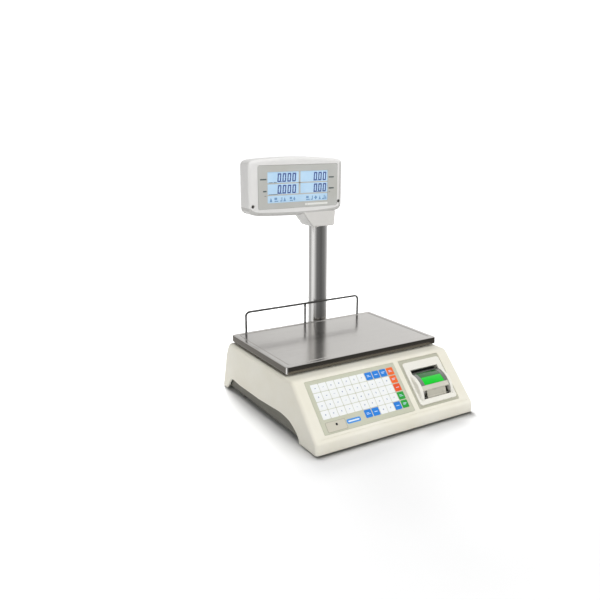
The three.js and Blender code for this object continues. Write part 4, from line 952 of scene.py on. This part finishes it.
boolean(fr, [([rbox(-113, -100, -12, 8, -19, -3, 1, 0.3)], REAR)], "UNION")
boolean(fr, [([flare("z", round_ring(-111.5, -101.5, -10.5, 6.5, 0.5, 3), -12, -1.6, 0.4, 3, 3)], REAR)])
clean(fr)
weigh(fr)
put(fr, "base", "power_switch_frame")
tip = math.radians(8)
ct, st = math.cos(tip), math.sin(tip)
level = [(-9.8, -3), (-9.5, -1.2), (-7.2, -0.75), (-5, -0.35), (-3.4, 0.2), (-2, 0.7), (-0.6, 0.2), (1, -0.35), (3.2, -0.75), (5.5, -1.2), (5.8, -3), (-0.5, -8.5), (-3.5, -8.5)]


def tilt(p):
    return [(-2 + (y + 2) * ct - (z + 5) * st, -5 + (y + 2) * st + (z + 5) * ct) for y, z in p]


rock = make("rocker_cap", [prism("x", tilt(level), -111.2, -101.8, b=0.45, seg=3, rnd=0.9, rseg=2)], REAR, [M["black"]])
put(rock, "rocker", "power_rocker")
# the generic on and off signs on the rocker
sign = []
for u, kind in ((-6.2, 1), (2.4, 0)):
    zc = lambda y: np.interp(y, [p[0] for p in level[1:10]], [p[1] for p in level[1:10]])
    if kind:
        q = [(u - 1.5, zc(u - 1.5) + 0.02), (u + 1.5, zc(u + 1.5) + 0.02), (u + 1.5, zc(u + 1.5) + 0.08), (u - 1.5, zc(u - 1.5) + 0.08)]
        sign.append(prism("x", tilt(q), -106.8, -106.2))
    else:
        for k in range(20):
            a0, a1 = 2 * math.pi * k / 20, 2 * math.pi * (k + 1) / 20
            for xs, ys in (((math.cos(a0) + math.cos(a1)) / 2, (math.sin(a0) + math.sin(a1)) / 2),):
                y, x = u + 1.4 * ys, -106.5 + 1.4 * xs
                q = [(y - 0.3, zc(y) + 0.02), (y + 0.3, zc(y) + 0.02), (y + 0.3, zc(y) + 0.08), (y - 0.3, zc(y) + 0.08)]
                sign.append(prism("x", tilt(q), x - 0.28, x + 0.28))
put(make("rocker_signs", sign, REAR, [M["bar_white"]], wn=False), "rocker", ())
port = make("port_block", [rbox(-94, -65, -11, 7, -3.7, -2, 0.8, 0.3, "z", 4, 3)], REAR, [M["plate"]])
boolean(port, [([rbox(-92, -67, -9, 5, -20, -3, 0.6, 0.2)], REAR)], "UNION")
boolean(port, [([slab(-90.5, -80.2, -6.5, 2.5, -15, 2)], REAR), ([slab(-78.8, -68.5, -6.5, 2.5, -15, 2)], REAR)])
clean(port)
weigh(port)
put(port, "base", "data_ports")
contacts = []
for x0 in (-90.5, -78.8):
    contacts.append(rbox(x0 + 0.9, x0 + 9.4, 1.0, 2.4, -14.8, -9, 0.3, 0.1, mat=1))
    for k in range(8):
        contacts.append(rbox(x0 + 1.3 + k * 1.0, x0 + 1.65 + k * 1.0, 0.4, 1.05, -14.5, -8.5, 0.1, 0.05, mat=0))
put(make("port_contacts", contacts, REAR, [M["brass"], M["black"]], wn=False), "base", "data_ports")

# ------------------------------------------------------------------ CAD pieces that stay, with their finishes
finish = {
    "base_tray": "tray", "keypad_board": "pcb", "lid_hinge_pin": "screw", "tear_bar": "screw", "printer_chassis": "deep", "thermal_head": "alloy",
    "paper_core": "card", "paper_motor": "plate", "platen_gear": "nylon", "motor_pinion": "brass", "load_cell": "alloy", "load_cell_base_block": "alloy",
    "load_cell_top_block": "alloy", "load_cell_bolt_lower_outer": "screw", "load_cell_bolt_lower_inner": "screw", "load_cell_bolt_upper_inner": "screw",
    "load_cell_bolt_upper_outer": "screw", "platter_spider": "alloy", "platter_pad_front_left": "rubber", "platter_pad_front_right": "rubber",
    "platter_pad_rear_left": "rubber", "platter_pad_rear_right": "rubber", "spirit_level": "vial", "main_board": "pcb", "power_supply": "pcb",
    "column_clamp_screw": "screw", "column_bolt_left": "screw", "column_bolt_right": "screw", "display_lead": "rubber", "swivel_plug": "nylon",
    "display_board": "pcb",
}
for n, key in finish.items():
    o = NODES[n]
    o.data.materials.clear()
    o.data.materials.append(M[key])

# ------------------------------------------------------------------ stage, light, camera
bpy.ops.mesh.primitive_plane_add(size=14, location=(0, 0, -0.0002))
floor = bpy.context.object
floor.name = "floor"
fm = Mat("floor_pale")
fc = fm.mixc(fm.ramp(fm.noise(3.0, 3.0), 0.3, 0.7, 0.0, 1.0), (0.86, 0.86, 0.86, 1), (0.84, 0.84, 0.84, 1))
vl = fm.n("ShaderNodeVectorMath", operation="LENGTH")
fm.l(fm.co.outputs["Object"], vl.inputs[0])
far = fm.n("ShaderNodeMapRange", interpolation_type="SMOOTHSTEP")
for key, val in (("From Min", 0.55), ("From Max", 1.5), ("To Min", 0.0), ("To Max", 1.0)):
    far.inputs[key].default_value = val
fm.l(vl.outputs["Value"], far.inputs["Value"])
fm.set(base=fc, rough=0.9, spec=0.1, em=(1, 1, 1, 1), em_s=far.outputs[0])
floor.data.materials.append(fm.m)
floor.visible_glossy = False
glow = bpy.data.collections.new("glow_only")
glow.objects.link(floor)
floor.light_linking.receiver_collection = glow
floor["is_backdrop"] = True

AZ, EL = math.radians(-30.93), math.radians(14.59)
back = Vector((math.sin(AZ) * math.cos(EL), -math.cos(AZ) * math.cos(EL), math.sin(EL)))
cam_data = bpy.data.cameras.new("camera")
cam_data.lens = 38.55
cam_data.sensor_width = 36
cam_data.clip_start = 0.01
cam = bpy.data.objects.new("camera", cam_data)
bpy.context.scene.collection.objects.link(cam)
cam.location = (-0.7419, -1.0700, 0.5558)
cam.rotation_euler = (-back).to_track_quat("-Z", "Y").to_euler()
bpy.context.scene.camera = cam

world = bpy.data.worlds.new("studio")
bpy.context.scene.world = world
world.use_nodes = True
wt = world.node_tree
wt.nodes.clear()
wo = wt.nodes.new("ShaderNodeOutputWorld")


def wmath(op, a, b=None):
    nd = wt.nodes.new("ShaderNodeMath")
    nd.operation = op
    for i, v in enumerate((a, b)):
        if v is None:
            continue
        if isinstance(v, (int, float)):
            nd.inputs[i].default_value = v
        else:
            wt.links.new(v, nd.inputs[i])
    return nd.outputs[0]


tc = wt.nodes.new("ShaderNodeTexCoord")
sep = wt.nodes.new("ShaderNodeSeparateXYZ")
wt.links.new(tc.outputs["Generated"], sep.inputs[0])
cxh, cyh = math.sin(AZ), -math.cos(AZ)                 # horizontal direction from the object to the operator's side
rxh, ryh = math.cos(AZ), math.sin(AZ)                  # to the right of it
dc = wmath("ADD", wmath("MULTIPLY", sep.outputs[0], cxh), wmath("MULTIPLY", sep.outputs[1], cyh))
dr = wmath("ADD", wmath("MULTIPLY", sep.outputs[0], rxh), wmath("MULTIPLY", sep.outputs[1], ryh))
theta = wmath("ARCTAN2", dr, dc)
u = wmath("ADD", wmath("MULTIPLY", theta, 1 / (2 * math.pi)), 0.5)


def wramp(stops, src):
    r = wt.nodes.new("ShaderNodeValToRGB")
    r.color_ramp.interpolation = "EASE"
    el = r.color_ramp.elements
    while len(el) > 1:
        el.remove(el[0])
    el[0].position = stops[0][0]
    el[0].color = (stops[0][1],) * 3 + (1,)
    for p, v in stops[1:]:
        e = el.new(p)
        e.color = (v,) * 3 + (1,)
    wt.links.new(src, r.inputs[0])
    return r.outputs[0]


def deg(a):
    return a / 360 + 0.5


DIFF = 0.36            # share of the studio surroundings that lights matt surfaces
low = wramp([(deg(a), v) for a, v in ((-180, 1.2), (-142, 1.15), (-119, 0.66), (-101, 0.42), (-86, 0.74), (-72, 1.08), (-58, 1.18), (-44, 0.92), (-32, 0.58), (-18, 0.28),
                                     (-5, 0.17), (40, 0.13), (72, 0.20), (88, 0.26), (103, 0.42), (121, 0.75), (143, 1.15), (180, 1.2))], u)
high = wramp([(deg(a), v) for a, v in ((-180, 0.90), (-169, 0.66), (-158, 0.52), (-146, 0.80), (-119, 0.70), (-101, 0.46), (-86, 0.78), (-72, 1.10), (-58, 1.20), (-44, 0.95), (-32, 0.60), (-18, 0.30),
                                      (-5, 0.19), (40, 0.15), (72, 0.24), (88, 0.32), (103, 0.48), (121, 0.80), (143, 1.10), (160, 1.0), (180, 0.90))], u)
zr = wt.nodes.new("ShaderNodeMapRange")
zr.interpolation_type = "SMOOTHSTEP"
zr.inputs["From Min"].default_value = -0.12
zr.inputs["From Max"].default_value = 0.16
wt.links.new(sep.outputs[2], zr.inputs["Value"])
mix1 = wt.nodes.new("ShaderNodeMix")
mix1.data_type = "RGBA"
wt.links.new(zr.outputs[0], mix1.inputs[0])
wt.links.new(low, mix1.inputs[6])
wt.links.new(high, mix1.inputs[7])
bg_env = wt.nodes.new("ShaderNodeBackground")
wt.links.new(mix1.outputs[2], bg_env.inputs[0])
lp = wt.nodes.new("ShaderNodeLightPath")
wt.links.new(wmath("ADD", wmath("MULTIPLY", lp.outputs["Is Glossy Ray"], 1.0 - DIFF), DIFF), bg_env.inputs[1])
bg_white = wt.nodes.new("ShaderNodeBackground")
bg_white.inputs[0].default_value = (1, 1, 1, 1)
bg_white.inputs[1].default_value = 1.1
ms = wt.nodes.new("ShaderNodeMixShader")
wt.links.new(lp.outputs["Is Camera Ray"], ms.inputs[0])
wt.links.new(bg_env.outputs[0], ms.inputs[1])
wt.links.new(bg_white.outputs[0], ms.inputs[2])
wt.links.new(ms.outputs[0], wo.inputs[0])


only_floor = bpy.data.collections.new("floor_only")
only_floor.objects.link(floor)
not_floor = bpy.data.collections.new("all_but_floor")
not_floor.objects.link(floor)
not_floor.collection_objects[0].light_linking.link_state = "EXCLUDE"


def area(name, loc, target, size, power, glossy=False, receivers=None):
    ld = bpy.data.lights.new(name, "AREA")
    ld.shape = "RECTANGLE"
    ld.size, ld.size_y = size
    ld.energy = power
    lo = bpy.data.objects.new(name, ld)
    bpy.context.scene.collection.objects.link(lo)
    lo.location = loc
    lo.rotation_euler = (Vector(target) - Vector(loc)).to_track_quat("-Z", "Y").to_euler()
    lo.visible_glossy = glossy
    if receivers is not None:
        lo.light_linking.receiver_collection = receivers
    return lo


area("top_softbox", (0.10, -0.5, 2.1), (0, 0, 0.1), (2.2, 2.0), 27, receivers=not_floor)
area("front_softbox", (0.10, -2.1, 1.35), (0, 0, 0.15), (1.8, 1.2), 27, receivers=not_floor)
area("left_softbox", (-1.9, -0.9, 0.8), (0, -0.05, 0.05), (1.2, 1.2), 4.0, receivers=not_floor)
area("floor_light", (0.16, 0.95, 1.9), (0, -0.05, 0), (1.5, 1.5), 56, receivers=only_floor)
area("floor_rim", (0.35, 1.85, 1.95), (0, -0.05, 0), (0.9, 0.9), 56, receivers=only_floor)

bpy.context.scene.view_settings.view_transform = "Standard"
bpy.context.scene.view_settings.look = "None"


def plain(b):
    try:
        return [float(x) for x in b]
    except TypeError:
        return [[float(x) for x in p] for p in b]


{"cad": plain(cad_bounds), "visual": plain(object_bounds())}
